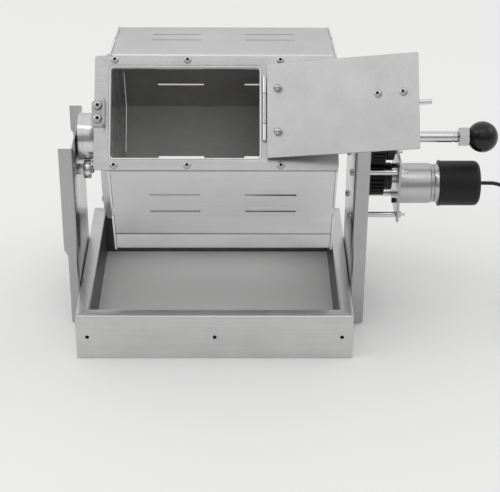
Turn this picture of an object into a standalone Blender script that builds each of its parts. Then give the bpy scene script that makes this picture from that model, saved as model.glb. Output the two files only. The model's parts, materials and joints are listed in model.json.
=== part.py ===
"""Home coffee bean roaster: a hexagonal drum with a hinged door, turned on a steel stand by a gear motor.

Lengths are metres. +X points to the right, +Y to the back and +Z up. While the part is built, x = 0 is the
middle of the stand, y = 0 its front and z = 0 the table. The last step moves the whole part, so that its
origin is in the middle of the bottom of its box.
"""
import math

import bmesh
import bpy
from mathutils import Matrix, Vector

# Driving dimensions of the stand
BASE_WIDTH = 0.280
BASE_DEPTH = 0.235
RAIL_HEIGHT = 0.050
RAIL_TOP = 0.014
SHEET = 0.0015
FOLD_RADIUS = 0.0022
AXIS_SETBACK = 0.1165
AXIS_HEIGHT = 0.194

# Driving dimensions of the drum
FACE_DISTANCE = 0.1004
PANEL_ELEVATION = math.radians(38.06)
LEFT_ROOM = 0.0397
RIGHT_ROOM = 0.0220
OPENING_WIDTH = 0.1426
OPENING_HEIGHT = 0.0888
DOOR_OPENED = math.radians(163.36)

# Driving dimensions of the drive
GEAR_MODULE = 0.0015
DRUM_TEETH = 36
PINION_TEETH = 24
GEAR_WIDTH = 0.014
SHAFT_RADIUS = 0.006

# Clearances
TOUCH_GAP = 0.0003
HOLE_GAP = 0.0003
RUN_GAP = 0.0004
JOIN_SINK = 0.0002
CUT_OVERRUN = 0.002
MERGE_DISTANCE = 0.00001

# Facets of round shapes
LARGE_SIDES = 32
MEDIUM_SIDES = 18
SMALL_SIDES = 14
SCREW_SIDES = 8
ARC_STEPS = 3
HEX_SIDES = 6
KNOB_ARC_STEPS = 11
SHARP_ANGLE = math.radians(40)

# Base rails
RAIL_HOLE_RADIUS = 0.00215
RAIL_HOLE_MARGIN = 0.0112
RAIL_HOLE_HEIGHT_SHARE = 0.5

# Uprights
UPRIGHT_FRONT = 0.0631
UPRIGHT_WIDTH = 0.1069
UPRIGHT_RISE = 0.0106
UPRIGHT_LIFT = 0.0015
LEFT_FLANGE_REACH = 0.0144
LEFT_REAR_TRIM = 0.0010
RIGHT_FLANGE_REACH = 0.0149
FRONT_STEP_DEPTH = 0.0038
FRONT_STEP_TOP_SHARE = 0.435
FRONT_STEP_BOTTOM_SHARE = 0.404
REAR_STEP_DEPTH = 0.0024
REAR_STEP_TOP_SHARE = 0.868
REAR_STEP_BOTTOM_SHARE = 0.848
LEFT_FOOT_CHAMFER = 0.003
RIGHT_FOOT_RADIUS = 0.004

# Bolts that hold the uprights on the side rails
BOLT_RADIUS = 0.0025
BOLT_HEAD_RADIUS = 0.0045
BOLT_HEAD_HEIGHT = 0.0026
BOLT_END = 0.002
BOLT_ROW_SHARES = (0.2, 0.8)
BOLT_HEIGHT_SHARES = (0.28, 0.72)
BOLT_NUT_RADIUS = 0.0046
BOLT_NUT_HEIGHT = 0.004

# Drum shell and end plates
SHELL_FOLD_RADIUS = 0.003
END_PLATE = 0.002
PLATE_PROUD = 0.0012
PLATE_CORNER_RADIUS = 0.002
TAB_WIDTH = 0.012
TAB_NOTCH_GAP = 0.0005
TAB_INSET = 0.0001
SLIT_LENGTH = 0.0495
SLIT_WIDTH = 0.0022
SLIT_ROW_SHARES = (0.0, 0.419)
SLIT_COLUMN_SHARES = (-0.428, 0.424)
LAP_THICKNESS = 0.0008
LAP_START_SHARE = -0.595
LAP_SINK = 0.0004

# Left end cap and hub ring
CAP_RADIUS = 0.084
CAP_DEPTH = 0.0095
CAP_STEP_RADIUS = 0.067
CAP_STEP = 0.0018
CAP_FOLD = 0.0025
CAP_SHEET = 0.0012
CAP_SCREW_CIRCLE = 0.0755
CAP_SCREWS = 6
CAP_SCREW_RADIUS = 0.0015
CAP_SCREW_HEAD_RADIUS = 0.0028
CAP_SCREW_HEAD_HEIGHT = 0.0018
HUB_RADIUS = 0.024
HUB_WALL = 0.005
HUB_END_GAP = 0.0013
HUB_CHAMFER = 0.0008

# Rollers under the hub ring
ROLLER_RADIUS = 0.0093
ROLLER_WIDTH = 0.0075
ROLLER_CHAMFER = 0.0006
ROLLER_SPREAD = math.radians(29.2)
ROLLER_BOLT_RADIUS = 0.0025
ROLLER_SPACER_RADIUS = 0.0062
ROLLER_SPACER_LENGTH = 0.006
ROLLER_HEAD_RADIUS = 0.0042
ROLLER_HEAD_HEIGHT = 0.0026
ROLLER_NUT_HEIGHT = 0.004

# Drive shaft, its bearing and what it carries
SHAFT_FLANGE_RADIUS = 0.018
SHAFT_FLANGE_THICKNESS = 0.004
FLANGE_SCREWS = 4
FLANGE_SCREW_RADIUS = 0.0015
FLANGE_SCREW_HEAD_RADIUS = 0.0026
FLANGE_SCREW_HEAD_HEIGHT = 0.002
FLANGE_SCREW_CIRCLE_SHARE = 0.68
BUSH_WALL = 0.002
HOUSING_WALL = 0.0064
HOUSING_LENGTH = 0.0119
HOUSING_CHAMFER = 0.001
HOUSING_SCREWS = 3
HOUSING_SCREW_RADIUS = 0.0014
HOUSING_SCREW_HEAD_RADIUS = 0.0025
HOUSING_SCREW_HEAD_HEIGHT = 0.0018
GEAR_SETOFF = 0.0182
GEAR_HUB_RADIUS = 0.011
COLLAR_RADIUS = 0.024
COLLAR_WIDTH = 0.0076
COLLAR_BOSS_RADIUS = 0.012
COLLAR_BOSS_LENGTH = 0.0011
COLLAR_CHAMFER = 0.0008
ROD_RADIUS = 0.0057
ROD_LENGTH = 0.0657
ROD_GROOVE_SETBACK = 0.006
ROD_GROOVE_WIDTH = 0.0016
ROD_GROOVE_DEPTH = 0.0006
ROD_CHAMFER = 0.0008
STUD_RADIUS = 0.004
LOCK_NUT_FLATS = 0.018
LOCK_NUT_HEIGHT = 0.0105
KNOB_RADIUS = 0.016
KNOB_NECK_RADIUS = 0.0078
STUD_IN_KNOB = 0.010

# Gears
PRESSURE_ANGLE = math.radians(20)
BACKLASH = 0.00018
ADDENDUM_SHARE = 0.97
DEDENDUM_SHARE = 1.28
FLANK_STEPS = 2
PINION_HUB_RADIUS = 0.0142
PINION_HUB_LENGTH = 0.0083
SETSCREW_RADIUS = 0.002
SETSCREW_LENGTH = 0.006
MOTOR_SHAFT_RADIUS = 0.004
MOTOR_SHAFT_INSET = 0.001
MOTOR_SHAFT_IN_GEARBOX = 0.006

# Motor plate and its standoffs
STANDOFF_LENGTH = 0.0443
STANDOFF_RADIUS = 0.0029
STANDOFF_SPREAD = 0.0243
STANDOFF_SCREW_RADIUS = 0.0015
STANDOFF_HEAD_RADIUS = 0.00375
STANDOFF_HEAD_HEIGHT = 0.0022
STANDOFF_NUT_FLATS = 0.0055
STANDOFF_NUT_HEIGHT = 0.003
STANDOFF_STUD_END = 0.004
MOTOR_PLATE = 0.0023
MOTOR_PLATE_SIZE = 0.068
MOTOR_PLATE_SHIFT = 0.0045
MOTOR_PLATE_CORNER = 0.003

# Gear motor
SHAFT_ECCENTRICITY = 0.008
GEARBOX_RADIUS = 0.021
GEARBOX_LENGTH = 0.037
GEARBOX_STEP_LENGTH = 0.003
GEARBOX_STEP = 0.001
BOSS_RADIUS = 0.0069
BOSS_RUN_GAP = 0.0003
GEARBOX_SCREW_CIRCLE = 0.018
GEARBOX_SCREW_TURN = math.radians(60.7)
GEARBOX_SCREW_RADIUS = 0.0015
GEARBOX_SCREW_DEPTH = 0.004
GEARBOX_HEAD_RADIUS = 0.00275
GEARBOX_HEAD_HEIGHT = 0.003
MOTOR_RING_RADIUS = 0.020
MOTOR_RING_LENGTH = 0.0087
MOTOR_CAN_WALL_GAP = 0.0012
MOTOR_CAN_LENGTH = 0.032
COVER_RADIUS = 0.0239
COVER_LENGTH = 0.0429
COVER_OVERLAP = 0.004
COVER_END_THICKNESS = 0.005
COVER_END_RADIUS = 0.006
COVER_LIP = 0.0006
COVER_LIP_WIDTH = 0.002
GROMMET_RADIUS = 0.0032
GROMMET_FLANGE_RADIUS = 0.0044
GROMMET_FLANGE = 0.001

# Front panel with its opening
PANEL_SHEET = 0.0012
PANEL_LEFT_OVERHANG = 0.0134
PANEL_RIGHT_OVERHANG = 0.0007
PANEL_TOP_MARGIN = 0.0025
PANEL_BOTTOM_MARGIN = 0.0013
PANEL_CORNER_RADIUS = 0.003
OPENING_MARGIN = 0.0154
OPENING_CORNER_RADIUS = 0.003
OPENING_FLANGE = 0.006
SHELL_CUT_GAP = 0.0008
PANEL_SCREW_ROW = 0.0516
PANEL_SCREW_SHARES = (0.082, 0.381, 0.764)
PANEL_SCREW_RADIUS = 0.0018
PANEL_SCREW_HEAD_RADIUS = 0.00365
PANEL_SCREW_HEAD_HEIGHT = 0.0021
PANEL_SCREW_END = 0.003
SOCKET_SHARE = 0.36
SOCKET_DEPTH_SHARE = 0.55

# Catch for the latch rod
CATCH_OVERHANG = 0.0024
CATCH_WIDTH = 0.0136
CATCH_BELOW = 0.0144
CATCH_ABOVE = 0.0113
CATCH_CORNER_RADIUS = 0.003
CATCH_SHEET = 0.0015
CATCH_LIP_THICKNESS = 0.0022
CATCH_LIP_HEIGHT = 0.0118
CATCH_SCREW_SETBACK = 0.0058
CATCH_SCREW_SPREAD = 0.0127
CATCH_HEAD_RADIUS = 0.0042
CATCH_HEAD_HEIGHT = 0.0024

# Door hinge
PIN_MARGIN = 0.0049
PIN_HEIGHT = 0.0028
PIN_RADIUS = 0.0011
PIN_TIP = 0.005
PIN_HEAD_RADIUS = 0.0018
PIN_HEAD_HEIGHT = 0.001
KNUCKLE_RADIUS = 0.00245
HINGE_CENTRE = 0.00265
MIDDLE_KNUCKLE = 0.0298
END_KNUCKLE = 0.016
KNUCKLE_GAP = 0.0004
KNUCKLE_STEPS = 16
LEAF = 0.0012
FIXED_LEAF_WIDTH = 0.0096
LEAF_SCREW_SETBACK = 0.0063
LEAF_SCREW_ROW = 0.0205
LEAF_SCREW_RADIUS = 0.0011
LEAF_SCREW_HEAD_RADIUS = 0.0020
LEAF_SCREW_HEAD_HEIGHT = 0.0005

# Door
DOOR_SHEET = 0.0015
DOOR_CLOSED_GAP = 0.0005
DOOR_START = 0.0028
DOOR_LAP = 0.0010
DOOR_LAP_ENDS = 0.0016
DOOR_CORNER_RADIUS = 0.0015
DOOR_LEAF_WIDTH = 0.020
DOOR_LEAF_HALF = 0.0260
DOOR_SCREW_SETBACK = 0.0135
DOOR_SCREW_ROW = 0.02125
DOOR_SCREW_RADIUS = 0.002
DOOR_HEAD_RADIUS = 0.0034
DOOR_HEAD_HEIGHT = 0.0038
DOME_NUT_RADIUS = 0.0041
DOME_NUT_HEX = 0.0026
DOME_NUT_DOME_RADIUS = 0.0034
DOME_NUT_HEIGHT = 0.0058

# Latch on the door
BRACKET_FREE_SETBACK = 0.0075
BRACKET_LENGTH = 0.038
BRACKET_LOW = -0.008
BRACKET_HIGH = 0.016
BRACKET_SHEET = 0.0015
EAR_HALF_WIDTH = 0.0055
ROD_OFFSET = 0.005
LATCH_HEIGHT = -0.0005
LATCH_RADIUS = 0.0024
LATCH_REACH = 0.011
LATCH_TAIL = 0.004
LATCH_CHAMFER = 0.0008
PEG_SETBACK = 0.0295
PEG_RADIUS = 0.0015
PEG_LENGTH = 0.009
PEG_HEAD_RADIUS = 0.003
PEG_HEAD_LENGTH = 0.003
PEG_IN_ROD_GAP = 0.0003
LATCH_SCREW_SETBACKS = (0.0385, 0.0145)
LATCH_SCREW_HEIGHT = 0.009
LATCH_SCREW_RADIUS = 0.0018
LATCH_SCREW_HEAD_RADIUS = 0.0036
LATCH_SCREW_HEAD_HEIGHT = 0.002
LATCH_NUT_RADIUS = 0.0032
LATCH_NUT_HEIGHT = 0.0022

# Low-voltage lead: its free stretch, its coil, the tie and the plug
CORD_RADIUS = 0.002
CORD_ROUTE = (
    (0.2756, 0.1165, 0.1410), (0.2830, 0.1165, 0.1410), (0.2915, 0.1165, 0.1405), (0.3020, 0.1164, 0.1365),
    (0.3105, 0.1162, 0.1280), (0.3155, 0.1160, 0.1160), (0.3180, 0.1158, 0.1000), (0.3190, 0.1158, 0.0820),
    (0.3192, 0.1159, 0.0620), (0.3192, 0.1160, 0.0420), (0.3192, 0.1155, 0.0250), (0.3192, 0.1120, 0.0120),
    (0.3192, 0.1050, 0.0050), (0.3192, 0.0960, 0.0029), (0.3192, 0.0900, 0.0029), (0.3192, 0.0843, 0.0029),
)
CORD_SPACING = 0.009
CURVE_SAMPLES = 24
COIL_CENTRE = (0.3492, 0.0800)
COIL_INNER_RADIUS = 0.0165
COIL_PITCH = 0.0045
COIL_LAYER_RISE = 0.0046
COIL_HEIGHT = 0.0029
COIL_TURNS_PER_LAYER = 3
COIL_LOOP_POINTS = 24
COIL_START = math.pi
COIL_TAIL = 0.026
COIL_TAIL_STEPS = 8
CORD_SIDES_RESOLUTION = 2
COIL_SIDES_RESOLUTION = 1
TIE_WIDTH = 0.006
TIE_THICKNESS = 0.0006
TIE_GAP = 0.0003
PLUG_RADIUS = 0.005
PLUG_BODY = 0.020
PLUG_RELIEF = 0.012
PLUG_RELIEF_RADIUS = 0.003
PLUG_FILLET = 0.001
BARREL_RADIUS = 0.00275
BARREL_LENGTH = 0.0095
CORD_PARTS = ("power_cord", "cord_coil", "cord_tie", "dc_plug")

# Places that follow from the sizes above
WEB_INNER = BASE_WIDTH / 2 + TOUCH_GAP
WEB_OUTER = WEB_INNER + SHEET
UPRIGHT_HEIGHT = AXIS_HEIGHT + UPRIGHT_RISE - UPRIGHT_LIFT
DRUM_LEFT = LEFT_ROOM - WEB_INNER
DRUM_RIGHT = WEB_INNER - RIGHT_ROOM
DRUM_LENGTH = DRUM_RIGHT - DRUM_LEFT
DRUM_CENTRE = (DRUM_RIGHT + DRUM_LEFT) / 2
HALF_FACE = FACE_DISTANCE * math.tan(math.pi / HEX_SIDES)
PANEL_LEFT = DRUM_LEFT - PANEL_LEFT_OVERHANG
PANEL_RIGHT = DRUM_RIGHT + PANEL_RIGHT_OVERHANG
PANEL_LENGTH = PANEL_RIGHT - PANEL_LEFT
PANEL_TOP = HALF_FACE - PANEL_TOP_MARGIN
PANEL_BOTTOM = PANEL_BOTTOM_MARGIN - HALF_FACE
PANEL_INNER = FACE_DISTANCE + TOUCH_GAP
PANEL_OUTER = PANEL_INNER + PANEL_SHEET
OPENING_LEFT = PANEL_LEFT + OPENING_MARGIN
OPENING_RIGHT = OPENING_LEFT + OPENING_WIDTH
PIN_X = OPENING_RIGHT + PIN_MARGIN
PIN_OUT = PANEL_OUTER + PIN_HEIGHT
DOOR_INNER = PIN_HEIGHT - DOOR_CLOSED_GAP
DOOR_OUTER = DOOR_INNER - DOOR_SHEET
DOOR_END = PIN_X - OPENING_LEFT + DOOR_LAP
DOOR_HALF = OPENING_HEIGHT / 2 + DOOR_LAP_ENDS
DOOR_LEAF_INNER = DOOR_OUTER - TOUCH_GAP
DOOR_LEAF_OUTER = DOOR_LEAF_INNER - LEAF
CAP_RIM = DRUM_LEFT - TOUCH_GAP
CAP_FACE = DRUM_LEFT - CAP_DEPTH
CAP_CENTRE = CAP_FACE - CAP_STEP
HUB_START = CAP_CENTRE - TOUCH_GAP
HUB_END = HUB_END_GAP - WEB_INNER
ROLLER_DISTANCE = HUB_RADIUS + TOUCH_GAP + ROLLER_RADIUS
ROLLER_LEFT = ROLLER_SPACER_LENGTH + TOUCH_GAP * 2 - WEB_INNER
FLANGE_LEFT = DRUM_RIGHT + TOUCH_GAP
FLANGE_RIGHT = FLANGE_LEFT + SHAFT_FLANGE_THICKNESS
BUSH_RADIUS = SHAFT_RADIUS + RUN_GAP + BUSH_WALL
HOUSING_BORE = BUSH_RADIUS + HOLE_GAP
HOUSING_RADIUS = HOUSING_BORE + HOUSING_WALL
HOUSING_LEFT = WEB_OUTER + TOUCH_GAP
HOUSING_RIGHT = HOUSING_LEFT + HOUSING_LENGTH
GEAR_LEFT = WEB_OUTER + GEAR_SETOFF
GEAR_RIGHT = GEAR_LEFT + GEAR_WIDTH
COLLAR_LEFT = GEAR_RIGHT + TOUCH_GAP
SHAFT_END = COLLAR_LEFT + COLLAR_BOSS_LENGTH + COLLAR_WIDTH
ROD_LEFT = SHAFT_END + TOUCH_GAP
ROD_RIGHT = ROD_LEFT + ROD_LENGTH
NUT_LEFT = ROD_RIGHT + TOUCH_GAP
NUT_RIGHT = NUT_LEFT + LOCK_NUT_HEIGHT
KNOB_LEFT = NUT_RIGHT + TOUCH_GAP
KNOB_CENTRE = KNOB_LEFT + math.sqrt(KNOB_RADIUS ** 2 - KNOB_NECK_RADIUS ** 2)
DRUM_GEAR_RADIUS = GEAR_MODULE * DRUM_TEETH / 2
PINION_GEAR_RADIUS = GEAR_MODULE * PINION_TEETH / 2
PINION_HEIGHT = AXIS_HEIGHT - DRUM_GEAR_RADIUS - PINION_GEAR_RADIUS
PINION_END = GEAR_RIGHT + PINION_HUB_LENGTH
BOSS_LEFT = PINION_END + TOUCH_GAP
PLATE_LEFT = WEB_OUTER + TOUCH_GAP * 2 + STANDOFF_LENGTH
PLATE_RIGHT = PLATE_LEFT + MOTOR_PLATE
GEARBOX_LEFT = PLATE_RIGHT + TOUCH_GAP
GEARBOX_RIGHT = GEARBOX_LEFT + GEARBOX_LENGTH
GEARBOX_HEIGHT = PINION_HEIGHT - SHAFT_ECCENTRICITY
RING_LEFT = GEARBOX_RIGHT + TOUCH_GAP
RING_RIGHT = RING_LEFT + MOTOR_RING_LENGTH
CAN_LEFT = RING_RIGHT + TOUCH_GAP
COVER_LEFT = RING_RIGHT - COVER_OVERLAP
COVER_BORE = MOTOR_RING_RADIUS + HOLE_GAP


# Scene, materials and small helpers

def clear_scene():
    for thing in list(bpy.data.objects):
        bpy.data.objects.remove(thing, do_unlink=True)
    for old in list(bpy.data.collections):
        bpy.data.collections.remove(old)


def new_collection(name):
    collection = bpy.data.collections.new(name)
    bpy.context.scene.collection.children.link(collection)
    return collection


def new_material(name, colour, roughness, metallic):
    material = bpy.data.materials.new(name)
    material.use_nodes = True
    shader = material.node_tree.nodes["Principled BSDF"]
    shader.inputs["Base Color"].default_value = (*colour, 1.0)
    shader.inputs["Roughness"].default_value = roughness
    shader.inputs["Metallic"].default_value = metallic
    material.diffuse_color = (*colour, 1.0)
    return material


def new_empty(name, parent, frame):
    empty = bpy.data.objects.new(name, None)
    PARTS.objects.link(empty)
    empty.parent = parent
    empty.matrix_local = frame
    return empty


def move(x=0.0, y=0.0, z=0.0):
    return Matrix.Translation((x, y, z))


def along_x(x, y=0.0, z=0.0):
    """A frame whose own Z points along +X."""
    return move(x, y, z) @ Matrix.Rotation(math.pi / 2, 4, "Y")


def against_x(x, y=0.0, z=0.0):
    """A frame whose own Z points along -X."""
    return move(x, y, z) @ Matrix.Rotation(-math.pi / 2, 4, "Y")


def along_y(x, y, z):
    """A frame whose own Z points along +Y, its X along +X and its Y along -Z."""
    return move(x, y, z) @ Matrix.Rotation(-math.pi / 2, 4, "X")


def face_frame(elevation):
    """The drum's face frame: X along the drum, Y up the face and Z out of it."""
    up = Vector((0, math.sin(elevation), math.cos(elevation)))
    out = Vector((0, -math.cos(elevation), math.sin(elevation)))
    return Matrix((Vector((1, 0, 0)), up, out)).transposed().to_4x4()


# Meshes

def arc(centre, radius, start, end, steps=ARC_STEPS):
    """Points on a circle's arc, both ends included."""
    angles = [start + (end - start) * step / steps for step in range(steps + 1)]
    return [(centre[0] + radius * math.cos(angle), centre[1] + radius * math.sin(angle)) for angle in angles]


def rounded_outline(corners, radii):
    """A closed outline whose corners are rounded by arcs that touch both sides."""
    points = []
    count = len(corners)
    for index, corner in enumerate(corners):
        radius = radii[index]
        here = Vector(corner)
        if radius == 0:
            points.append(tuple(here))
            continue
        back = (Vector(corners[index - 1]) - here).normalized()
        ahead = (Vector(corners[(index + 1) % count]) - here).normalized()
        half = back.angle(ahead) / 2
        middle = here + (back + ahead).normalized() * radius / math.sin(half)
        first = here + back * radius / math.tan(half) - middle
        turn = first.angle_signed(here + ahead * radius / math.tan(half) - middle)
        for step in range(ARC_STEPS + 1):
            spoke = first.copy()
            spoke.rotate(Matrix.Rotation(-turn * step / ARC_STEPS, 2))
            points.append(tuple(middle + spoke))
    return points


def rectangle(left, bottom, right, top, radius=0.0):
    return rounded_outline([(left, bottom), (right, bottom), (right, top), (left, top)], [radius] * 4)


def polygon(radius, sides, turn=0.0):
    angles = [turn + math.tau * side / sides for side in range(sides)]
    return [(radius * math.cos(angle), radius * math.sin(angle)) for angle in angles]


def mesh_of(thing):
    """The evaluated mesh of an object, welded, after which the object is removed."""
    bpy.context.view_layer.update()
    depsgraph = bpy.context.evaluated_depsgraph_get()
    mesh = bpy.data.meshes.new_from_object(thing.evaluated_get(depsgraph))
    bpy.data.objects.remove(thing, do_unlink=True)
    form = bmesh.new()
    form.from_mesh(mesh)
    bmesh.ops.remove_doubles(form, verts=form.verts, dist=MERGE_DISTANCE)
    bmesh.ops.recalc_face_normals(form, faces=form.faces)
    form.to_mesh(mesh)
    form.free()
    return mesh


def prism(outlines, depth):
    """A flat outline, and the holes in it, drawn out from z = 0 to z = depth."""
    curve = bpy.data.curves.new("outline", "CURVE")
    curve.dimensions = "2D"
    curve.fill_mode = "BOTH"
    curve.extrude = depth / 2
    for outline in outlines:
        spline = curve.splines.new("POLY")
        spline.points.add(len(outline) - 1)
        for point, (x, y) in zip(spline.points, outline):
            point.co = (x, y, 0, 1)
        spline.use_cyclic_u = True
    drawn = bpy.data.objects.new("outline", curve)
    PARTS.objects.link(drawn)
    mesh = mesh_of(drawn)
    bpy.data.curves.remove(curve)
    mesh.transform(move(z=depth / 2))
    return mesh


def turned(profile, sides, ring=False):
    """A (radius, height) profile turned about Z: down its outer side, or all round a ring."""
    mesh = bpy.data.meshes.new("profile")
    edges = [(index, index + 1) for index in range(len(profile) - 1)]
    if ring:
        edges.append((len(profile) - 1, 0))
    mesh.from_pydata([(radius, 0, height) for radius, height in profile], edges, [])
    shape = bpy.data.objects.new("profile", mesh)
    PARTS.objects.link(shape)
    screw = shape.modifiers.new("turn", "SCREW")
    screw.axis = "Z"
    screw.steps = sides
    screw.render_steps = sides
    screw.use_merge_vertices = True
    screw.merge_threshold = MERGE_DISTANCE
    return mesh_of(shape)


def cylinder(radius, length, sides=SMALL_SIDES):
    """A round bar from z = 0 to z = length."""
    form = bmesh.new()
    bmesh.ops.create_cone(form, cap_ends=True, segments=sides, radius1=radius, radius2=radius, depth=length)
    bmesh.ops.translate(form, verts=form.verts, vec=(0, 0, length / 2))
    mesh = bpy.data.meshes.new("cylinder")
    form.to_mesh(mesh)
    form.free()
    return mesh


def block(low, high):
    form = bmesh.new()
    bmesh.ops.create_cube(form, size=1)
    sizes = [top - bottom for bottom, top in zip(low, high)]
    bmesh.ops.scale(form, vec=sizes, verts=form.verts)
    bmesh.ops.translate(form, vec=[(top + bottom) / 2 for bottom, top in zip(low, high)], verts=form.verts)
    mesh = bpy.data.meshes.new("block")
    form.to_mesh(mesh)
    form.free()
    return mesh


def gathered(pieces):
    """One mesh of several (mesh, frame) pieces, which stay separate bodies in it."""
    form = bmesh.new()
    for mesh, frame in pieces:
        copy = mesh.copy()
        copy.transform(frame)
        form.from_mesh(copy)
        bpy.data.meshes.remove(copy)
    whole = bpy.data.meshes.new("group")
    form.to_mesh(whole)
    form.free()
    return whole


# Objects

def smooth(mesh):
    mesh.shade_smooth()
    mesh.set_sharp_from_angle(angle=SHARP_ANGLE)


def part(name, mesh, parent, material, frame=None):
    thing = bpy.data.objects.new(name, mesh)
    mesh.name = name
    mesh.materials.clear()
    mesh.materials.append(material)
    smooth(mesh)
    PARTS.objects.link(thing)
    thing.parent = parent
    thing.matrix_local = frame or Matrix.Identity(4)
    return thing


def part_set(names, mesh, frames, parent, material):
    """Identical pieces, one for each name and frame."""
    return [part(name, mesh.copy(), parent, material, frame) for name, frame in zip(names, frames)]


def guide(name, mesh, frames, parent):
    """A hidden body that a Boolean reads."""
    thing = bpy.data.objects.new(name, gathered([(mesh, frame) for frame in frames]))
    CUTTERS.objects.link(thing)
    thing.parent = parent
    thing.display_type = "WIRE"
    thing.hide_render = True
    return thing


def combine(target, mesh, frames, operation):
    body = guide(f"{target.name}_{operation.lower()}", mesh, frames, target.parent)
    boolean = target.modifiers.new(operation.lower(), "BOOLEAN")
    boolean.operation = operation
    boolean.solver = "EXACT"
    boolean.object = body
    return body


def keep_inside(target, mesh, frame):
    combine(target, mesh, [frame], "INTERSECT")


def cut(target, mesh, frames):
    combine(target, mesh, frames, "DIFFERENCE")


def fuse(target, mesh, frames):
    combine(target, mesh, frames, "UNION")


# Stand: four mitred rails

def rail_mesh(length):
    """A folded channel, open below, whose ends are mitred: across is X, height is Y and along is Z."""
    corners = [
        (0, 0), (SHEET, 0), (SHEET, RAIL_HEIGHT - SHEET), (RAIL_TOP - SHEET, RAIL_HEIGHT - SHEET),
        (RAIL_TOP - SHEET, 0), (RAIL_TOP, 0), (RAIL_TOP, RAIL_HEIGHT), (0, RAIL_HEIGHT),
    ]
    inside = max(FOLD_RADIUS - SHEET, 0)
    mesh = prism([rounded_outline(corners, [0, 0, inside, inside, 0, 0, FOLD_RADIUS, FOLD_RADIUS])], length)
    for vertex in mesh.vertices:
        reach = length / 2 - vertex.co.x - TOUCH_GAP / math.sqrt(2)
        vertex.co.z = -reach if vertex.co.z < length / 2 else reach
    return mesh


def make_rails(stand):
    across_in = Matrix(((0, 0, 1, 0), (1, 0, 0, 0), (0, 1, 0, 0), (0, 0, 0, 1)))
    rails = {}
    for turn, name in enumerate(("front_rail", "right_rail", "rear_rail", "left_rail")):
        length, reach = (BASE_WIDTH, BASE_DEPTH / 2) if turn % 2 == 0 else (BASE_DEPTH, BASE_WIDTH / 2)
        quarter = Matrix.Rotation(turn * math.pi / 2, 4, "Z")
        frame = move(y=BASE_DEPTH / 2) @ quarter @ move(y=-reach) @ across_in
        rails[name] = part(name, rail_mesh(length), stand, BASE_STEEL, frame)
    spread = BASE_WIDTH / 2 - RAIL_HOLE_MARGIN
    height = RAIL_HEIGHT * RAIL_HOLE_HEIGHT_SHARE
    drill = cylinder(RAIL_HOLE_RADIUS, RAIL_TOP + CUT_OVERRUN * 2, SCREW_SIDES)
    cut(rails["front_rail"], drill, [along_y(x, -CUT_OVERRUN, height) for x in (-spread, 0, spread)])
    deep = cylinder(BOLT_RADIUS + HOLE_GAP, SHEET + CUT_OVERRUN * 2, SCREW_SIDES)
    inner = BASE_WIDTH / 2 - SHEET - CUT_OVERRUN
    cut(rails["right_rail"], deep, [along_x(inner, y, z) for y, z in bolt_places()])
    cut(rails["left_rail"], deep, [against_x(-inner, y, z) for y, z in bolt_places()])


def bolt_places():
    return [(UPRIGHT_FRONT + row * UPRIGHT_WIDTH, RAIL_HEIGHT * level)
            for row in BOLT_ROW_SHARES for level in BOLT_HEIGHT_SHARES]


# Stand: uprights

def upright_outline(front_reach, rear_reach):
    front, rear = UPRIGHT_FRONT, UPRIGHT_FRONT + UPRIGHT_WIDTH
    corners = [
        (WEB_INNER, front), (WEB_INNER + front_reach, front), (WEB_INNER + front_reach, front + SHEET),
        (WEB_OUTER, front + SHEET), (WEB_OUTER, rear - SHEET), (WEB_INNER + rear_reach, rear - SHEET),
        (WEB_INNER + rear_reach, rear), (WEB_INNER, rear),
    ]
    inside = max(FOLD_RADIUS - SHEET, 0)
    return rounded_outline(corners, [FOLD_RADIUS, 0, 0, inside, inside, 0, 0, FOLD_RADIUS])


def facing_front(y):
    """A frame whose X is +X, whose Y is +Z and whose own Z points to the front."""
    return move(y=y) @ Matrix.Rotation(math.pi / 2, 4, "X")


def make_left_upright(stand):
    outline = upright_outline(LEFT_FLANGE_REACH, LEFT_FLANGE_REACH - LEFT_REAR_TRIM)
    mirrored = [(-x, y) for x, y in reversed(outline)]
    upright = part("left_upright", prism([mirrored], UPRIGHT_HEIGHT), stand, UPRIGHT_STEEL,
                   move(z=UPRIGHT_LIFT))
    edge = -WEB_INNER - LEFT_FLANGE_REACH
    stepped = edge + FRONT_STEP_DEPTH
    low = UPRIGHT_LIFT - CUT_OVERRUN
    front_step = [
        (edge - CUT_OVERRUN, UPRIGHT_LIFT + UPRIGHT_HEIGHT * FRONT_STEP_TOP_SHARE),
        (edge - CUT_OVERRUN, low), (stepped + LEFT_FOOT_CHAMFER, low),
        (stepped + LEFT_FOOT_CHAMFER, UPRIGHT_LIFT),
        (stepped, UPRIGHT_LIFT + LEFT_FOOT_CHAMFER),
        (stepped, UPRIGHT_LIFT + UPRIGHT_HEIGHT * FRONT_STEP_BOTTOM_SHARE),
        (edge, UPRIGHT_LIFT + UPRIGHT_HEIGHT * FRONT_STEP_TOP_SHARE),
    ]
    depth = SHEET + CUT_OVERRUN * 2
    cut(upright, prism([front_step], depth), [facing_front(UPRIGHT_FRONT + SHEET + CUT_OVERRUN)])
    edge += LEFT_REAR_TRIM
    stepped = edge + REAR_STEP_DEPTH
    rear_step = [
        (edge - CUT_OVERRUN, UPRIGHT_LIFT + UPRIGHT_HEIGHT * REAR_STEP_TOP_SHARE), (edge - CUT_OVERRUN, low),
        (stepped, low), (stepped, UPRIGHT_LIFT + UPRIGHT_HEIGHT * REAR_STEP_BOTTOM_SHARE),
        (edge, UPRIGHT_LIFT + UPRIGHT_HEIGHT * REAR_STEP_TOP_SHARE),
    ]
    cut(upright, prism([rear_step], depth), [facing_front(UPRIGHT_FRONT + UPRIGHT_WIDTH + CUT_OVERRUN)])
    cut(upright, cylinder(ROLLER_BOLT_RADIUS + HOLE_GAP, SHEET + CUT_OVERRUN * 2, SCREW_SIDES),
        [against_x(CUT_OVERRUN - WEB_INNER, y, z) for y, z in roller_places()])
    add_upright_bolts(upright, [against_x(JOIN_SINK - WEB_OUTER, y, z) for y, z in bolt_places()])


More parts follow.
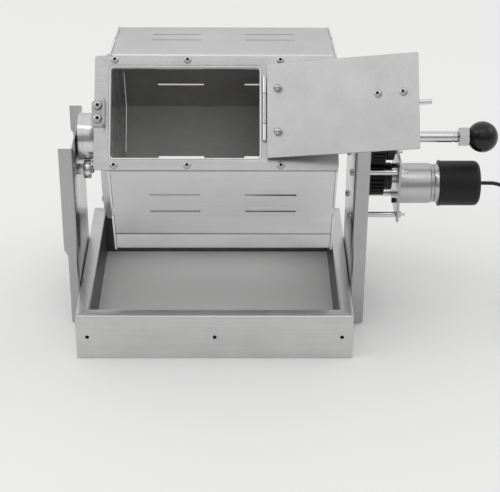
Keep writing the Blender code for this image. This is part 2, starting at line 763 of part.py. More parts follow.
def make_right_upright(stand):
    outline = upright_outline(RIGHT_FLANGE_REACH, RIGHT_FLANGE_REACH)
    upright = part("right_upright", prism([outline], UPRIGHT_HEIGHT), stand, UPRIGHT_STEEL,
                   move(z=UPRIGHT_LIFT))
    edge = WEB_INNER + RIGHT_FLANGE_REACH
    low = UPRIGHT_LIFT - CUT_OVERRUN
    centre = (edge - RIGHT_FOOT_RADIUS, UPRIGHT_LIFT + RIGHT_FOOT_RADIUS)
    foot = arc(centre, RIGHT_FOOT_RADIUS, -math.pi / 2, 0)
    foot += [(edge + CUT_OVERRUN, centre[1]), (edge + CUT_OVERRUN, low), (centre[0], low)]
    depth = UPRIGHT_WIDTH + CUT_OVERRUN * 2
    cut(upright, prism([foot], depth), [facing_front(UPRIGHT_FRONT + UPRIGHT_WIDTH + CUT_OVERRUN)])
    through = SHEET + CUT_OVERRUN * 2
    left = WEB_INNER - CUT_OVERRUN
    cut(upright, cylinder(HOUSING_BORE, through, MEDIUM_SIDES), [along_x(left, AXIS_SETBACK, AXIS_HEIGHT)])
    cut(upright, cylinder(HOUSING_SCREW_RADIUS + HOLE_GAP, through, SCREW_SIDES), housing_screw_frames(left))
    cut(upright, cylinder(STANDOFF_SCREW_RADIUS + HOLE_GAP, through, SCREW_SIDES),
        [along_x(left, y, z) for y, z in standoff_places()])
    add_upright_bolts(upright, [along_x(WEB_OUTER - JOIN_SINK, y, z) for y, z in bolt_places()])


def add_upright_bolts(upright, frames):
    """Bolts through the rail's wall, each with its nut inside the rail, joined to the upright."""
    grip = WEB_OUTER - JOIN_SINK + TOUCH_GAP - (BASE_WIDTH / 2 - SHEET)
    reach = grip + BOLT_NUT_HEIGHT + BOLT_END
    fuse(upright, screw_mesh(BOLT_RADIUS, reach, BOLT_HEAD_RADIUS, BOLT_HEAD_HEIGHT), frames)
    nut = prism([polygon(BOLT_NUT_RADIUS, HEX_SIDES)], BOLT_NUT_HEIGHT)
    fuse(upright, nut, [frame @ move(z=-grip - BOLT_NUT_HEIGHT) for frame in frames])


def screw_mesh(radius, reach, head_radius, head_height):
    """A button-head screw: its seat is at z = 0, its head above and its shank below."""
    round_off = head_radius * (1 - math.cos(math.pi / 4))
    profile = [(0, head_height), (head_radius * math.cos(math.pi / 4), head_height),
               (head_radius - round_off / 2, head_height / 2), (head_radius, 0), (radius, 0), (radius, -reach),
               (0, -reach)]
    return turned(profile, SCREW_SIDES)


def socket(head_radius, head_height, frames):
    """The hexagon socket in a screw's head, and the frames where it is cut."""
    depth = head_height * SOCKET_DEPTH_SHARE
    sunk = [frame @ move(z=head_height - depth) for frame in frames]
    return prism([polygon(head_radius * SOCKET_SHARE, HEX_SIDES)], depth + CUT_OVERRUN), sunk


# Stand: rollers under the drum's hub ring

def roller_places():
    drop = ROLLER_DISTANCE * math.cos(ROLLER_SPREAD)
    side = ROLLER_DISTANCE * math.sin(ROLLER_SPREAD)
    return [(AXIS_SETBACK - side, AXIS_HEIGHT - drop), (AXIS_SETBACK + side, AXIS_HEIGHT - drop)]


def make_roller_bolts(stand):
    start = -WEB_OUTER - TOUCH_GAP - ROLLER_NUT_HEIGHT
    head = ROLLER_LEFT + ROLLER_WIDTH + TOUCH_GAP
    bolt = screw_mesh(ROLLER_BOLT_RADIUS, head - start, ROLLER_HEAD_RADIUS, ROLLER_HEAD_HEIGHT)
    spacer = prism([polygon(ROLLER_SPACER_RADIUS, HEX_SIDES)], ROLLER_SPACER_LENGTH)
    nut = prism([polygon(ROLLER_SPACER_RADIUS, HEX_SIDES)], ROLLER_NUT_HEIGHT)
    for name, (y, z) in zip(("front_roller_bolt", "rear_roller_bolt"), roller_places()):
        seat = along_x(head, y, z)
        whole = part(name, bolt.copy(), stand, FASTENER_STEEL, seat)
        fuse(whole, spacer, [along_x(TOUCH_GAP - WEB_INNER, y, z)])
        fuse(whole, nut, [along_x(start, y, z)])
        cut(whole, *socket(ROLLER_HEAD_RADIUS, ROLLER_HEAD_HEIGHT, [seat]))


def make_rollers(stand):
    bore = ROLLER_BOLT_RADIUS + RUN_GAP
    edge = ROLLER_RADIUS - ROLLER_CHAMFER
    ring = [(bore, ROLLER_WIDTH), (edge, ROLLER_WIDTH), (ROLLER_RADIUS, ROLLER_WIDTH - ROLLER_CHAMFER),
            (ROLLER_RADIUS, ROLLER_CHAMFER), (edge, 0), (bore, 0)]
    for name, (y, z) in zip(("front_roller", "rear_roller"), roller_places()):
        pivot = new_empty(f"{name}_pivot", stand, move(y=y, z=z))
        part(name, turned(ring, MEDIUM_SIDES, ring=True), pivot, POLISHED_STEEL, along_x(ROLLER_LEFT))


# Stand: bearing of the drive shaft

def housing_screw_frames(x):
    circle = (HOUSING_BORE + HOUSING_RADIUS) / 2
    turns = [math.tau * index / HOUSING_SCREWS for index in range(HOUSING_SCREWS)]
    return [along_x(x, AXIS_SETBACK + circle * math.sin(turn), AXIS_HEIGHT + circle * math.cos(turn))
            for turn in turns]


def make_bearing(stand):
    edge = HOUSING_RADIUS - HOUSING_CHAMFER
    ring = [(HOUSING_BORE, HOUSING_LENGTH), (edge, HOUSING_LENGTH),
            (HOUSING_RADIUS, HOUSING_LENGTH - HOUSING_CHAMFER), (HOUSING_RADIUS, 0), (HOUSING_BORE, 0)]
    frame = along_x(HOUSING_LEFT, AXIS_SETBACK, AXIS_HEIGHT)
    housing = part("bearing_housing", turned(ring, MEDIUM_SIDES, ring=True), stand, UPRIGHT_STEEL, frame)
    reach = HOUSING_LEFT + JOIN_SINK - (WEB_INNER - TOUCH_GAP)
    screw = screw_mesh(HOUSING_SCREW_RADIUS, reach, HOUSING_SCREW_HEAD_RADIUS, HOUSING_SCREW_HEAD_HEIGHT)
    flipped = Matrix.Rotation(math.pi, 4, "Y")
    fuse(housing, screw, [frame @ flipped for frame in housing_screw_frames(WEB_INNER - TOUCH_GAP)])
    bore = SHAFT_RADIUS + RUN_GAP
    length = HOUSING_RIGHT - WEB_INNER
    bush = [(bore, length), (BUSH_RADIUS, length), (BUSH_RADIUS, 0), (bore, 0)]
    part("shaft_bearing", turned(bush, MEDIUM_SIDES, ring=True), stand, BEARING_BRONZE,
         along_x(WEB_INNER, AXIS_SETBACK, AXIS_HEIGHT))


# Stand: motor plate on its standoffs

def standoff_places():
    return [(AXIS_SETBACK + side * STANDOFF_SPREAD, GEARBOX_HEIGHT + level * STANDOFF_SPREAD)
            for side in (-1, 1) for level in (-1, 1)]


def gearbox_screw_places():
    side = GEARBOX_SCREW_CIRCLE * math.cos(GEARBOX_SCREW_TURN)
    level = GEARBOX_SCREW_CIRCLE * math.sin(GEARBOX_SCREW_TURN)
    return [(AXIS_SETBACK + side, GEARBOX_HEIGHT + level), (AXIS_SETBACK - side, GEARBOX_HEIGHT - level)]


def make_motor_plate(stand):
    half = MOTOR_PLATE_SIZE / 2
    outline = rectangle(-half, -half, half, half, MOTOR_PLATE_CORNER)
    middle = GEARBOX_HEIGHT + MOTOR_PLATE_SHIFT
    plate = part("motor_plate", prism([outline], MOTOR_PLATE), stand, UPRIGHT_STEEL,
                 along_x(PLATE_LEFT, AXIS_SETBACK, middle))
    through = MOTOR_PLATE + CUT_OVERRUN * 2
    left = PLATE_LEFT - CUT_OVERRUN
    boss_room = cylinder(BOSS_RADIUS + HOLE_GAP, through, MEDIUM_SIDES)
    cut(plate, boss_room, [along_x(left, AXIS_SETBACK, PINION_HEIGHT)])
    cut(plate, cylinder(GEARBOX_SCREW_RADIUS + HOLE_GAP, through, SCREW_SIDES),
        [along_x(left, y, z) for y, z in gearbox_screw_places()])
    cut(plate, cylinder(STANDOFF_SCREW_RADIUS + HOLE_GAP, through, SCREW_SIDES),
        [along_x(left, y, z) for y, z in standoff_places()])


def make_standoffs(stand):
    """Each standoff is one piece with the screw in its left end and the stud and nut at its right end."""
    seat = WEB_INNER - TOUCH_GAP
    start = WEB_OUTER + TOUCH_GAP
    nut_left = PLATE_RIGHT + TOUCH_GAP
    end = nut_left + STANDOFF_NUT_HEIGHT + STANDOFF_STUD_END
    screw = screw_mesh(STANDOFF_SCREW_RADIUS, end - seat, STANDOFF_HEAD_RADIUS, STANDOFF_HEAD_HEIGHT)
    bar = cylinder(STANDOFF_RADIUS, STANDOFF_LENGTH)
    nut_radius = STANDOFF_NUT_FLATS / 2 / math.cos(math.pi / HEX_SIDES)
    nut = prism([polygon(nut_radius, HEX_SIDES)], STANDOFF_NUT_HEIGHT)
    names = ("front_lower_standoff", "front_upper_standoff", "rear_lower_standoff", "rear_upper_standoff")
    for name, (y, z) in zip(names, standoff_places()):
        head = against_x(seat, y, z)
        standoff = part(name, screw.copy(), stand, POLISHED_STEEL, head)
        fuse(standoff, bar, [along_x(start, y, z)])
        fuse(standoff, nut, [along_x(nut_left, y, z)])
        cut(standoff, *socket(STANDOFF_HEAD_RADIUS, STANDOFF_HEAD_HEIGHT, [head]))


# Stand: gear motor

def make_gearbox(stand):
    stepped = GEARBOX_RADIUS - GEARBOX_STEP
    profile = [(0, GEARBOX_LENGTH), (stepped, GEARBOX_LENGTH), (stepped, GEARBOX_LENGTH - GEARBOX_STEP_LENGTH),
               (GEARBOX_RADIUS, GEARBOX_LENGTH - GEARBOX_STEP_LENGTH - GEARBOX_STEP), (GEARBOX_RADIUS, 0),
               (0, 0)]
    gearbox = part("gearbox", turned(profile, LARGE_SIDES), stand, BRIGHT_METAL,
                   along_x(GEARBOX_LEFT, AXIS_SETBACK, GEARBOX_HEIGHT))
    boss = cylinder(BOSS_RADIUS, GEARBOX_LEFT - BOSS_LEFT + CUT_OVERRUN, MEDIUM_SIDES)
    fuse(gearbox, boss, [along_x(BOSS_LEFT, AXIS_SETBACK, PINION_HEIGHT)])
    bore_end = GEARBOX_LEFT + MOTOR_SHAFT_IN_GEARBOX + BOSS_RUN_GAP
    bore = cylinder(MOTOR_SHAFT_RADIUS + BOSS_RUN_GAP, bore_end - BOSS_LEFT + CUT_OVERRUN, MEDIUM_SIDES)
    cut(gearbox, bore, [along_x(BOSS_LEFT - CUT_OVERRUN, AXIS_SETBACK, PINION_HEIGHT)])
    blind = cylinder(GEARBOX_SCREW_RADIUS + HOLE_GAP, GEARBOX_SCREW_DEPTH + CUT_OVERRUN, SCREW_SIDES)
    cut(gearbox, blind, [along_x(GEARBOX_LEFT - CUT_OVERRUN, y, z) for y, z in gearbox_screw_places()])
    reach = MOTOR_PLATE + TOUCH_GAP * 2 + GEARBOX_SCREW_DEPTH - HOLE_GAP
    screw = cap_screw_mesh(GEARBOX_SCREW_RADIUS, reach, GEARBOX_HEAD_RADIUS, GEARBOX_HEAD_HEIGHT)
    frames = [against_x(PLATE_LEFT - TOUCH_GAP, y, z) for y, z in gearbox_screw_places()]
    names = ("upper_gearbox_screw", "lower_gearbox_screw")
    for head, frame in zip(part_set(names, screw, frames, stand, BLACK_STEEL), frames):
        cut(head, *socket(GEARBOX_HEAD_RADIUS, GEARBOX_HEAD_HEIGHT, [frame]))


def cap_screw_mesh(radius, reach, head_radius, head_height):
    """A cylinder-head screw: its seat is at z = 0, its head above and its shank below."""
    profile = [(0, head_height), (head_radius, head_height), (head_radius, 0), (radius, 0), (radius, -reach),
               (0, -reach)]
    return turned(profile, SCREW_SIDES)


def make_motor(stand):
    part("motor_ring", cylinder(MOTOR_RING_RADIUS, MOTOR_RING_LENGTH, LARGE_SIDES), stand, BRIGHT_METAL,
         along_x(RING_LEFT, AXIS_SETBACK, GEARBOX_HEIGHT))
    part("motor_can", cylinder(COVER_BORE - MOTOR_CAN_WALL_GAP, MOTOR_CAN_LENGTH, LARGE_SIDES), stand,
         BRIGHT_METAL, along_x(CAN_LEFT, AXIS_SETBACK, GEARBOX_HEIGHT))


def make_motor_cover(stand):
    """A cup over the motor: its open end is at height 0 and its round-edged end carries the grommet."""
    hole = GROMMET_RADIUS + HOLE_GAP
    body = COVER_RADIUS - COVER_LIP
    corner = arc((body - COVER_END_RADIUS, COVER_LENGTH - COVER_END_RADIUS), COVER_END_RADIUS, math.pi / 2, 0)
    ring = [(hole, COVER_LENGTH), *corner, (body, COVER_LIP_WIDTH), (COVER_RADIUS, COVER_LIP_WIDTH - COVER_LIP),
            (COVER_RADIUS, 0), (COVER_BORE, 0), (COVER_BORE, COVER_LENGTH - COVER_END_THICKNESS),
            (hole, COVER_LENGTH - COVER_END_THICKNESS)]
    frame = along_x(COVER_LEFT, AXIS_SETBACK, GEARBOX_HEIGHT)
    part("motor_cover", turned(ring, LARGE_SIDES, ring=True), stand, BLACK_PLASTIC, frame)
    inner = COVER_LENGTH - COVER_END_THICKNESS
    outer = COVER_LENGTH + TOUCH_GAP
    grommet = [(0, outer + GROMMET_FLANGE), (GROMMET_FLANGE_RADIUS, outer + GROMMET_FLANGE),
               (GROMMET_FLANGE_RADIUS, outer), (GROMMET_RADIUS, outer), (GROMMET_RADIUS, inner), (0, inner)]
    part("cord_grommet", turned(grommet, SMALL_SIDES), stand, BLACK_PLASTIC, frame)


# Stand: lead

def smooth_route(route, spacing):
    """Evenly spaced points on the smooth curve through a route's own points."""
    points = [Vector(point) for point in route]
    points = [points[0] * 2 - points[1], *points, points[-1] * 2 - points[-2]]
    fine = [points[1]]
    for before, start, end, after in zip(points, points[1:], points[2:], points[3:]):
        for step in range(1, CURVE_SAMPLES + 1):
            share = step / CURVE_SAMPLES
            fine.append((start * 2 + (end - before) * share
                         + (before * 2 - start * 5 + end * 4 - after) * share ** 2
                         + (start * 3 - before - end * 3 + after) * share ** 3) / 2)
    length = sum((ahead - here).length for here, ahead in zip(fine, fine[1:]))
    count = round(length / spacing)
    even, walked, target = [fine[0]], 0.0, length / count
    for here, ahead in zip(fine, fine[1:]):
        stretch = (ahead - here).length
        while len(even) < count and walked + stretch >= target * len(even):
            even.append(here.lerp(ahead, (target * len(even) - walked) / stretch))
        walked += stretch
    return [*even, fine[-1]]


def coil_points():
    """Loops that spiral in, climb a layer in the half turn where they turn back, and spiral out again."""
    loops = COIL_TURNS_PER_LAYER * 2
    outer = COIL_INNER_RADIUS + COIL_PITCH * COIL_TURNS_PER_LAYER
    left, middle = COIL_CENTRE[0] - outer, COIL_CENTRE[1]
    points = [Vector((left, middle + CORD_RADIUS * 2, COIL_HEIGHT))]
    for step in range(loops * COIL_LOOP_POINTS + 1):
        turn = step / COIL_LOOP_POINTS
        radius = COIL_INNER_RADIUS + COIL_PITCH * abs(turn - COIL_TURNS_PER_LAYER)
        angle = COIL_START + math.tau * turn
        climb = smooth_step((turn - COIL_TURNS_PER_LAYER) * 2 + 0.5)
        points.append(Vector((COIL_CENTRE[0] + radius * math.cos(angle), middle + radius * math.sin(angle),
                              COIL_HEIGHT + COIL_LAYER_RISE * climb)))
    top = COIL_HEIGHT + COIL_LAYER_RISE
    for step in range(1, COIL_TAIL_STEPS + 1):
        share = step / COIL_TAIL_STEPS
        height = top + (PLUG_RADIUS - top) * smooth_step(share * 2 - 1)
        points.append(Vector((left, middle - COIL_TAIL * share, height)))
    points.append(Vector((left, middle - COIL_TAIL - CORD_RADIUS * 2, PLUG_RADIUS)))
    return points


def smooth_step(share):
    share = min(max(share, 0.0), 1.0)
    return share * share * (3 - share * 2)


def least_gap(points):
    """The least gap between points that lie more than half a loop apart along the tube."""
    apart = COIL_LOOP_POINTS // 2
    pairs = ((here, there) for index, here in enumerate(points) for there in points[index + apart:])
    return min((here - there).length for here, there in pairs) - CORD_RADIUS * 2


def tube(name, points, resolution, parent):
    curve = bpy.data.curves.new(name, "CURVE")
    curve.dimensions = "3D"
    curve.bevel_depth = CORD_RADIUS
    curve.bevel_resolution = resolution
    curve.use_fill_caps = True
    spline = curve.splines.new("POLY")
    spline.points.add(len(points) - 1)
    for place, point in zip(spline.points, points):
        place.co = (*point, 1)
    drawn = bpy.data.objects.new(name, curve)
    PARTS.objects.link(drawn)
    mesh = mesh_of(drawn)
    bpy.data.curves.remove(curve)
    return part(name, mesh, parent, LEAD_PLASTIC)


def make_lead(stand):
    tube("power_cord", smooth_route(CORD_ROUTE, CORD_SPACING), CORD_SIDES_RESOLUTION, stand)
    coil = coil_points()
    print(f"coil: least gap to itself {least_gap(coil) * 1000:.2f} mm")
    tube("cord_coil", coil, COIL_SIDES_RESOLUTION, stand)
    make_tie(stand, coil)
    make_plug(stand, coil[-1])


def make_tie(stand, coil):
    """A flat band round all the loops on the coil's right side."""
    near = [point for point in coil
            if point.x > COIL_CENTRE[0] and abs(point.y - COIL_CENTRE[1]) < TIE_WIDTH]
    room = CORD_RADIUS + TIE_GAP
    low = (min(point.x for point in near) - room, min(point.z for point in near) - room)
    high = (max(point.x for point in near) + room, max(point.z for point in near) + room)
    band = TIE_THICKNESS
    outlines = [rectangle(low[0] - band, low[1] - band, high[0] + band, high[1] + band, CORD_RADIUS),
                rectangle(*low, *high, CORD_RADIUS - band)]
    part("cord_tie", prism(outlines, TIE_WIDTH), stand, LEAD_PLASTIC,
         facing_front(COIL_CENTRE[1] + TIE_WIDTH / 2))


def make_plug(stand, end):
    """The plug's frame has its barrel at the top, and points to the front of the stand."""
    body = PLUG_RELIEF + PLUG_BODY
    profile = [(0, body + BARREL_LENGTH), (BARREL_RADIUS, body + BARREL_LENGTH), (BARREL_RADIUS, body),
               (PLUG_RADIUS - PLUG_FILLET, body), (PLUG_RADIUS, body - PLUG_FILLET), (PLUG_RADIUS, PLUG_RELIEF),
               (PLUG_RELIEF_RADIUS, PLUG_FILLET), (PLUG_RELIEF_RADIUS, 0), (0, 0)]
    frame = move(end.x, end.y - TOUCH_GAP, end.z) @ Matrix.Rotation(math.pi / 2, 4, "X")
    part("dc_plug", turned(profile, SMALL_SIDES), stand, LEAD_PLASTIC, frame)


# Gears and pinion

def gear_outline(teeth):
    """Involute teeth, the first of which points along +X."""
    pitch = GEAR_MODULE * teeth / 2
    base = pitch * math.cos(PRESSURE_ANGLE)
    tip = pitch + GEAR_MODULE * ADDENDUM_SHARE
    root = pitch - GEAR_MODULE * DEDENDUM_SHARE
    involute = math.tan(PRESSURE_ANGLE) - PRESSURE_ANGLE
    half_tooth = math.pi / 2 / teeth - BACKLASH / 2 / pitch
    flank = []
    for step in range(FLANK_STEPS):
        radius = base + (tip - base) * step / (FLANK_STEPS - 1)
        slope = math.acos(min(base / radius, 1.0))
        flank.append((radius, half_tooth + involute - (math.tan(slope) - slope)))
    flank.insert(0, (min(root, base), flank[0][1]))
    points = []
    for tooth in range(teeth):
        middle = math.tau * tooth / teeth
        sides = [(radius, middle - angle) for radius, angle in flank]
        sides += [(radius, middle + angle) for radius, angle in reversed(flank)]
        points += [(radius * math.cos(angle), radius * math.sin(angle)) for radius, angle in sides]
    return points


def make_pinion(stand):
    pivot = new_empty("pinion_pivot", stand, move(y=AXIS_SETBACK, z=PINION_HEIGHT))
    meshed = Matrix.Rotation(math.pi + math.pi / PINION_TEETH, 4, "Z")
    gear = part("pinion_gear", prism([gear_outline(PINION_TEETH)], GEAR_WIDTH), pivot, BLACK_PLASTIC,
                along_x(GEAR_LEFT) @ meshed)
    hub = cylinder(PINION_HUB_RADIUS, PINION_HUB_LENGTH + SHEET, LARGE_SIDES)
    fuse(gear, hub, [along_x(GEAR_RIGHT - SHEET)])
    cut(gear, cylinder(MOTOR_SHAFT_RADIUS + HOLE_GAP, PINION_END - GEAR_LEFT + CUT_OVERRUN * 2, MEDIUM_SIDES),
        [along_x(GEAR_LEFT - CUT_OVERRUN)])
    middle = GEAR_RIGHT + PINION_HUB_LENGTH / 2
    radial = move(x=middle) @ Matrix.Rotation(math.pi / 2, 4, "X")
    cut(gear, cylinder(SETSCREW_RADIUS + HOLE_GAP, PINION_HUB_RADIUS + CUT_OVERRUN), [radial])
    shaft_left = GEAR_LEFT + MOTOR_SHAFT_INSET
    length = GEARBOX_LEFT + MOTOR_SHAFT_IN_GEARBOX - shaft_left
    part("motor_shaft", cylinder(MOTOR_SHAFT_RADIUS, length, MEDIUM_SIDES), pivot, POLISHED_STEEL,
         along_x(shaft_left))
    seat = MOTOR_SHAFT_RADIUS + TOUCH_GAP
    part("pinion_setscrew", cylinder(SETSCREW_RADIUS, SETSCREW_LENGTH), pivot, BLACK_STEEL,
         radial @ move(z=seat))


# Drum: shell, end plates, end cap and hub ring

def hexagon(distance, radius, steps=2):
    """A hexagon with one face towards the panel, in a frame along +X."""
    corner = distance / math.cos(math.pi / HEX_SIDES)
    points = []
    for side in range(HEX_SIDES):
        elevation = PANEL_ELEVATION + math.pi * (side * 2 - 1) / HEX_SIDES
        centre = (corner - radius / math.cos(math.pi / HEX_SIDES))
        back, level = -math.cos(elevation), math.sin(elevation)
        spoke = math.atan2(back, -level)
        half = math.pi / HEX_SIDES
        points += arc((-level * centre, back * centre), radius, spoke + half, spoke - half, steps)
    return points


def face_turns():
    return [PANEL_ELEVATION + math.tau * face / HEX_SIDES for face in range(HEX_SIDES)]


def make_shell(drum):
    left = DRUM_LEFT + END_PLATE + TOUCH_GAP
    length = DRUM_LENGTH - END_PLATE * 2 - TOUCH_GAP * 2
    inner = hexagon(FACE_DISTANCE - SHEET, max(SHELL_FOLD_RADIUS - SHEET, MERGE_DISTANCE * 2))
    outer = hexagon(FACE_DISTANCE, SHELL_FOLD_RADIUS)
    shell = part("drum_shell", prism([outer, inner], length), drum, DRUM_STEEL,
                 along_x(left))
    lap_start = HALF_FACE * LAP_START_SHARE
    lap_low = FACE_DISTANCE - LAP_SINK
    lap = block((left + JOIN_SINK, SHELL_FOLD_RADIUS - HALF_FACE, lap_low),
                (left + length - JOIN_SINK, lap_start, FACE_DISTANCE + LAP_THICKNESS))
    fuse(shell, lap, [face_frame(PANEL_ELEVATION - math.tau / HEX_SIDES)])
    low, high = FACE_DISTANCE - SHEET + TAB_INSET, FACE_DISTANCE - TAB_INSET
    for start, end in ((left - END_PLATE, left + SHEET), (left + length - SHEET, left + length + END_PLATE)):
        tab = block((start, -TAB_WIDTH / 2, low), (end, TAB_WIDTH / 2, high))
        fuse(shell, tab, [face_frame(turn) for turn in face_turns()])
    column = DRUM_LENGTH / 2
    slit = block((-SLIT_LENGTH / 2, -SLIT_WIDTH / 2, FACE_DISTANCE - SHEET - CUT_OVERRUN),
                 (SLIT_LENGTH / 2, SLIT_WIDTH / 2, FACE_DISTANCE + CUT_OVERRUN))
    places = [move(DRUM_CENTRE + column * across, HALF_FACE * row)
              for across in SLIT_COLUMN_SHARES for row in SLIT_ROW_SHARES]
    cut(shell, slit, [face_frame(turn) @ place for turn in face_turns()[1:] for place in places])
    half = OPENING_HEIGHT / 2
    room = PANEL_SHEET + SHELL_CUT_GAP
    window = prism([rectangle(OPENING_LEFT - room, -half - room, OPENING_RIGHT + room, half + room,
                              OPENING_CORNER_RADIUS + room)], SHEET + CUT_OVERRUN * 2)
    front = face_frame(PANEL_ELEVATION)
    cut(shell, window, [front @ move(z=FACE_DISTANCE - SHEET - CUT_OVERRUN)])
    cut(shell, cylinder(PANEL_SCREW_RADIUS + HOLE_GAP, SHEET + CUT_OVERRUN * 2, SCREW_SIDES),
        [front @ move(x, y, FACE_DISTANCE - SHEET - CUT_OVERRUN) for x, y in panel_screw_places()])
    cut(shell, cylinder(LEAF_SCREW_RADIUS + HOLE_GAP, SHEET + CUT_OVERRUN * 2, SCREW_SIDES),
        [front @ move(x, y, FACE_DISTANCE - SHEET - CUT_OVERRUN) for x, y in leaf_screw_places()])


def panel_screw_places():
    return [(PANEL_LEFT + PANEL_LENGTH * share, row) for row in (PANEL_SCREW_ROW, -PANEL_SCREW_ROW)
            for share in PANEL_SCREW_SHARES]


def leaf_screw_places():
    return [(PIN_X + LEAF_SCREW_SETBACK, HINGE_CENTRE + row) for row in (LEAF_SCREW_ROW, -LEAF_SCREW_ROW)]


def cap_screw_frames(x):
    spokes = [math.tau * index / CAP_SCREWS for index in range(CAP_SCREWS)]
    return [against_x(x, CAP_SCREW_CIRCLE * math.sin(turn), CAP_SCREW_CIRCLE * math.cos(turn))
            for turn in spokes]


def flange_screw_frames(x):
    circle = SHAFT_FLANGE_RADIUS * FLANGE_SCREW_CIRCLE_SHARE
    spokes = [math.tau * index / FLANGE_SCREWS for index in range(FLANGE_SCREWS)]
    return [along_x(x, circle * math.sin(turn), circle * math.cos(turn)) for turn in spokes]


def make_end_plates(drum):
    outline = hexagon(FACE_DISTANCE + PLATE_PROUD, PLATE_CORNER_RADIUS)
    notch = TAB_WIDTH / 2 + TAB_NOTCH_GAP
    gap = block((-END_PLATE - CUT_OVERRUN, -notch, FACE_DISTANCE - SHEET - TAB_NOTCH_GAP),
                (CUT_OVERRUN + END_PLATE, notch, FACE_DISTANCE + PLATE_PROUD + CUT_OVERRUN))
    behind_panel = block((-END_PLATE - CUT_OVERRUN, PANEL_BOTTOM - TAB_NOTCH_GAP, FACE_DISTANCE),
                         (CUT_OVERRUN + END_PLATE, PANEL_TOP + TAB_NOTCH_GAP, FACE_DISTANCE + CUT_OVERRUN * 2))
    for name, left in (("left_end_plate", DRUM_LEFT), ("right_end_plate", DRUM_RIGHT - END_PLATE)):
        plate = part(name, prism([outline], END_PLATE), drum, DRUM_STEEL, along_x(left))
        middle = move(x=left + END_PLATE / 2)
        cut(plate, gap, [face_frame(turn) @ middle for turn in face_turns()])
        cut(plate, behind_panel, [face_frame(PANEL_ELEVATION) @ middle])
        through = END_PLATE + CUT_OVERRUN * 2
        if name == "left_end_plate":
            drill = cylinder(CAP_SCREW_RADIUS + HOLE_GAP, through, SCREW_SIDES)
            cut(plate, drill, cap_screw_frames(left + END_PLATE + CUT_OVERRUN))
            reach = OPENING_HEIGHT / 2 + PANEL_SHEET + TOUCH_GAP
            flange_room = block((left - CUT_OVERRUN, -reach, PANEL_OUTER - OPENING_FLANGE - TOUCH_GAP),
                                (left + through, reach, FACE_DISTANCE + CUT_OVERRUN))
            cut(plate, flange_room, [face_frame(PANEL_ELEVATION)])
        else:
            drill = cylinder(FLANGE_SCREW_RADIUS + HOLE_GAP, through, SCREW_SIDES)
            cut(plate, drill, flange_screw_frames(left - CUT_OVERRUN))


def make_end_cap(drum):
    """A round pan: its rim stands on the end plate and a shallow step carries the hub ring."""
    face, centre, rim = -CAP_FACE, -CAP_CENTRE, -CAP_RIM
    fold = arc((CAP_RADIUS - CAP_FOLD, face - CAP_FOLD), CAP_FOLD, math.pi / 2, 0)
    bore = CAP_FOLD - CAP_SHEET
    inner_fold = arc((CAP_RADIUS - CAP_FOLD, face - CAP_FOLD), bore, 0, math.pi / 2)
    step = CAP_STEP_RADIUS + CAP_STEP
    profile = [(0, centre), (CAP_STEP_RADIUS, centre), (step, face), *fold, (CAP_RADIUS, rim),
               (CAP_RADIUS - CAP_SHEET, rim), *inner_fold, (step - CAP_SHEET / 2, face - CAP_SHEET),
               (CAP_STEP_RADIUS - CAP_SHEET / 2, centre - CAP_SHEET), (0, centre - CAP_SHEET)]
    cap = part("left_end_cap", turned(profile, LARGE_SIDES), drum, DRUM_STEEL, against_x(0))
    reach = DRUM_LEFT + END_PLATE - CAP_FACE
    screw = screw_mesh(CAP_SCREW_RADIUS, reach, CAP_SCREW_HEAD_RADIUS, CAP_SCREW_HEAD_HEIGHT)
    fuse(cap, screw, cap_screw_frames(CAP_FACE + JOIN_SINK))
    length = HUB_START - HUB_END
    bore = HUB_RADIUS - HUB_WALL
    ring = [(bore + HUB_CHAMFER, length), (HUB_RADIUS - HUB_CHAMFER, length),
            (HUB_RADIUS, length - HUB_CHAMFER),
            (HUB_RADIUS, 0), (bore, 0), (bore, length - HUB_CHAMFER)]
    part("hub_ring", turned(ring, LARGE_SIDES, ring=True), drum, POLISHED_STEEL, against_x(HUB_START))


# Drum: drive shaft, gear, collar, handle rod and knob

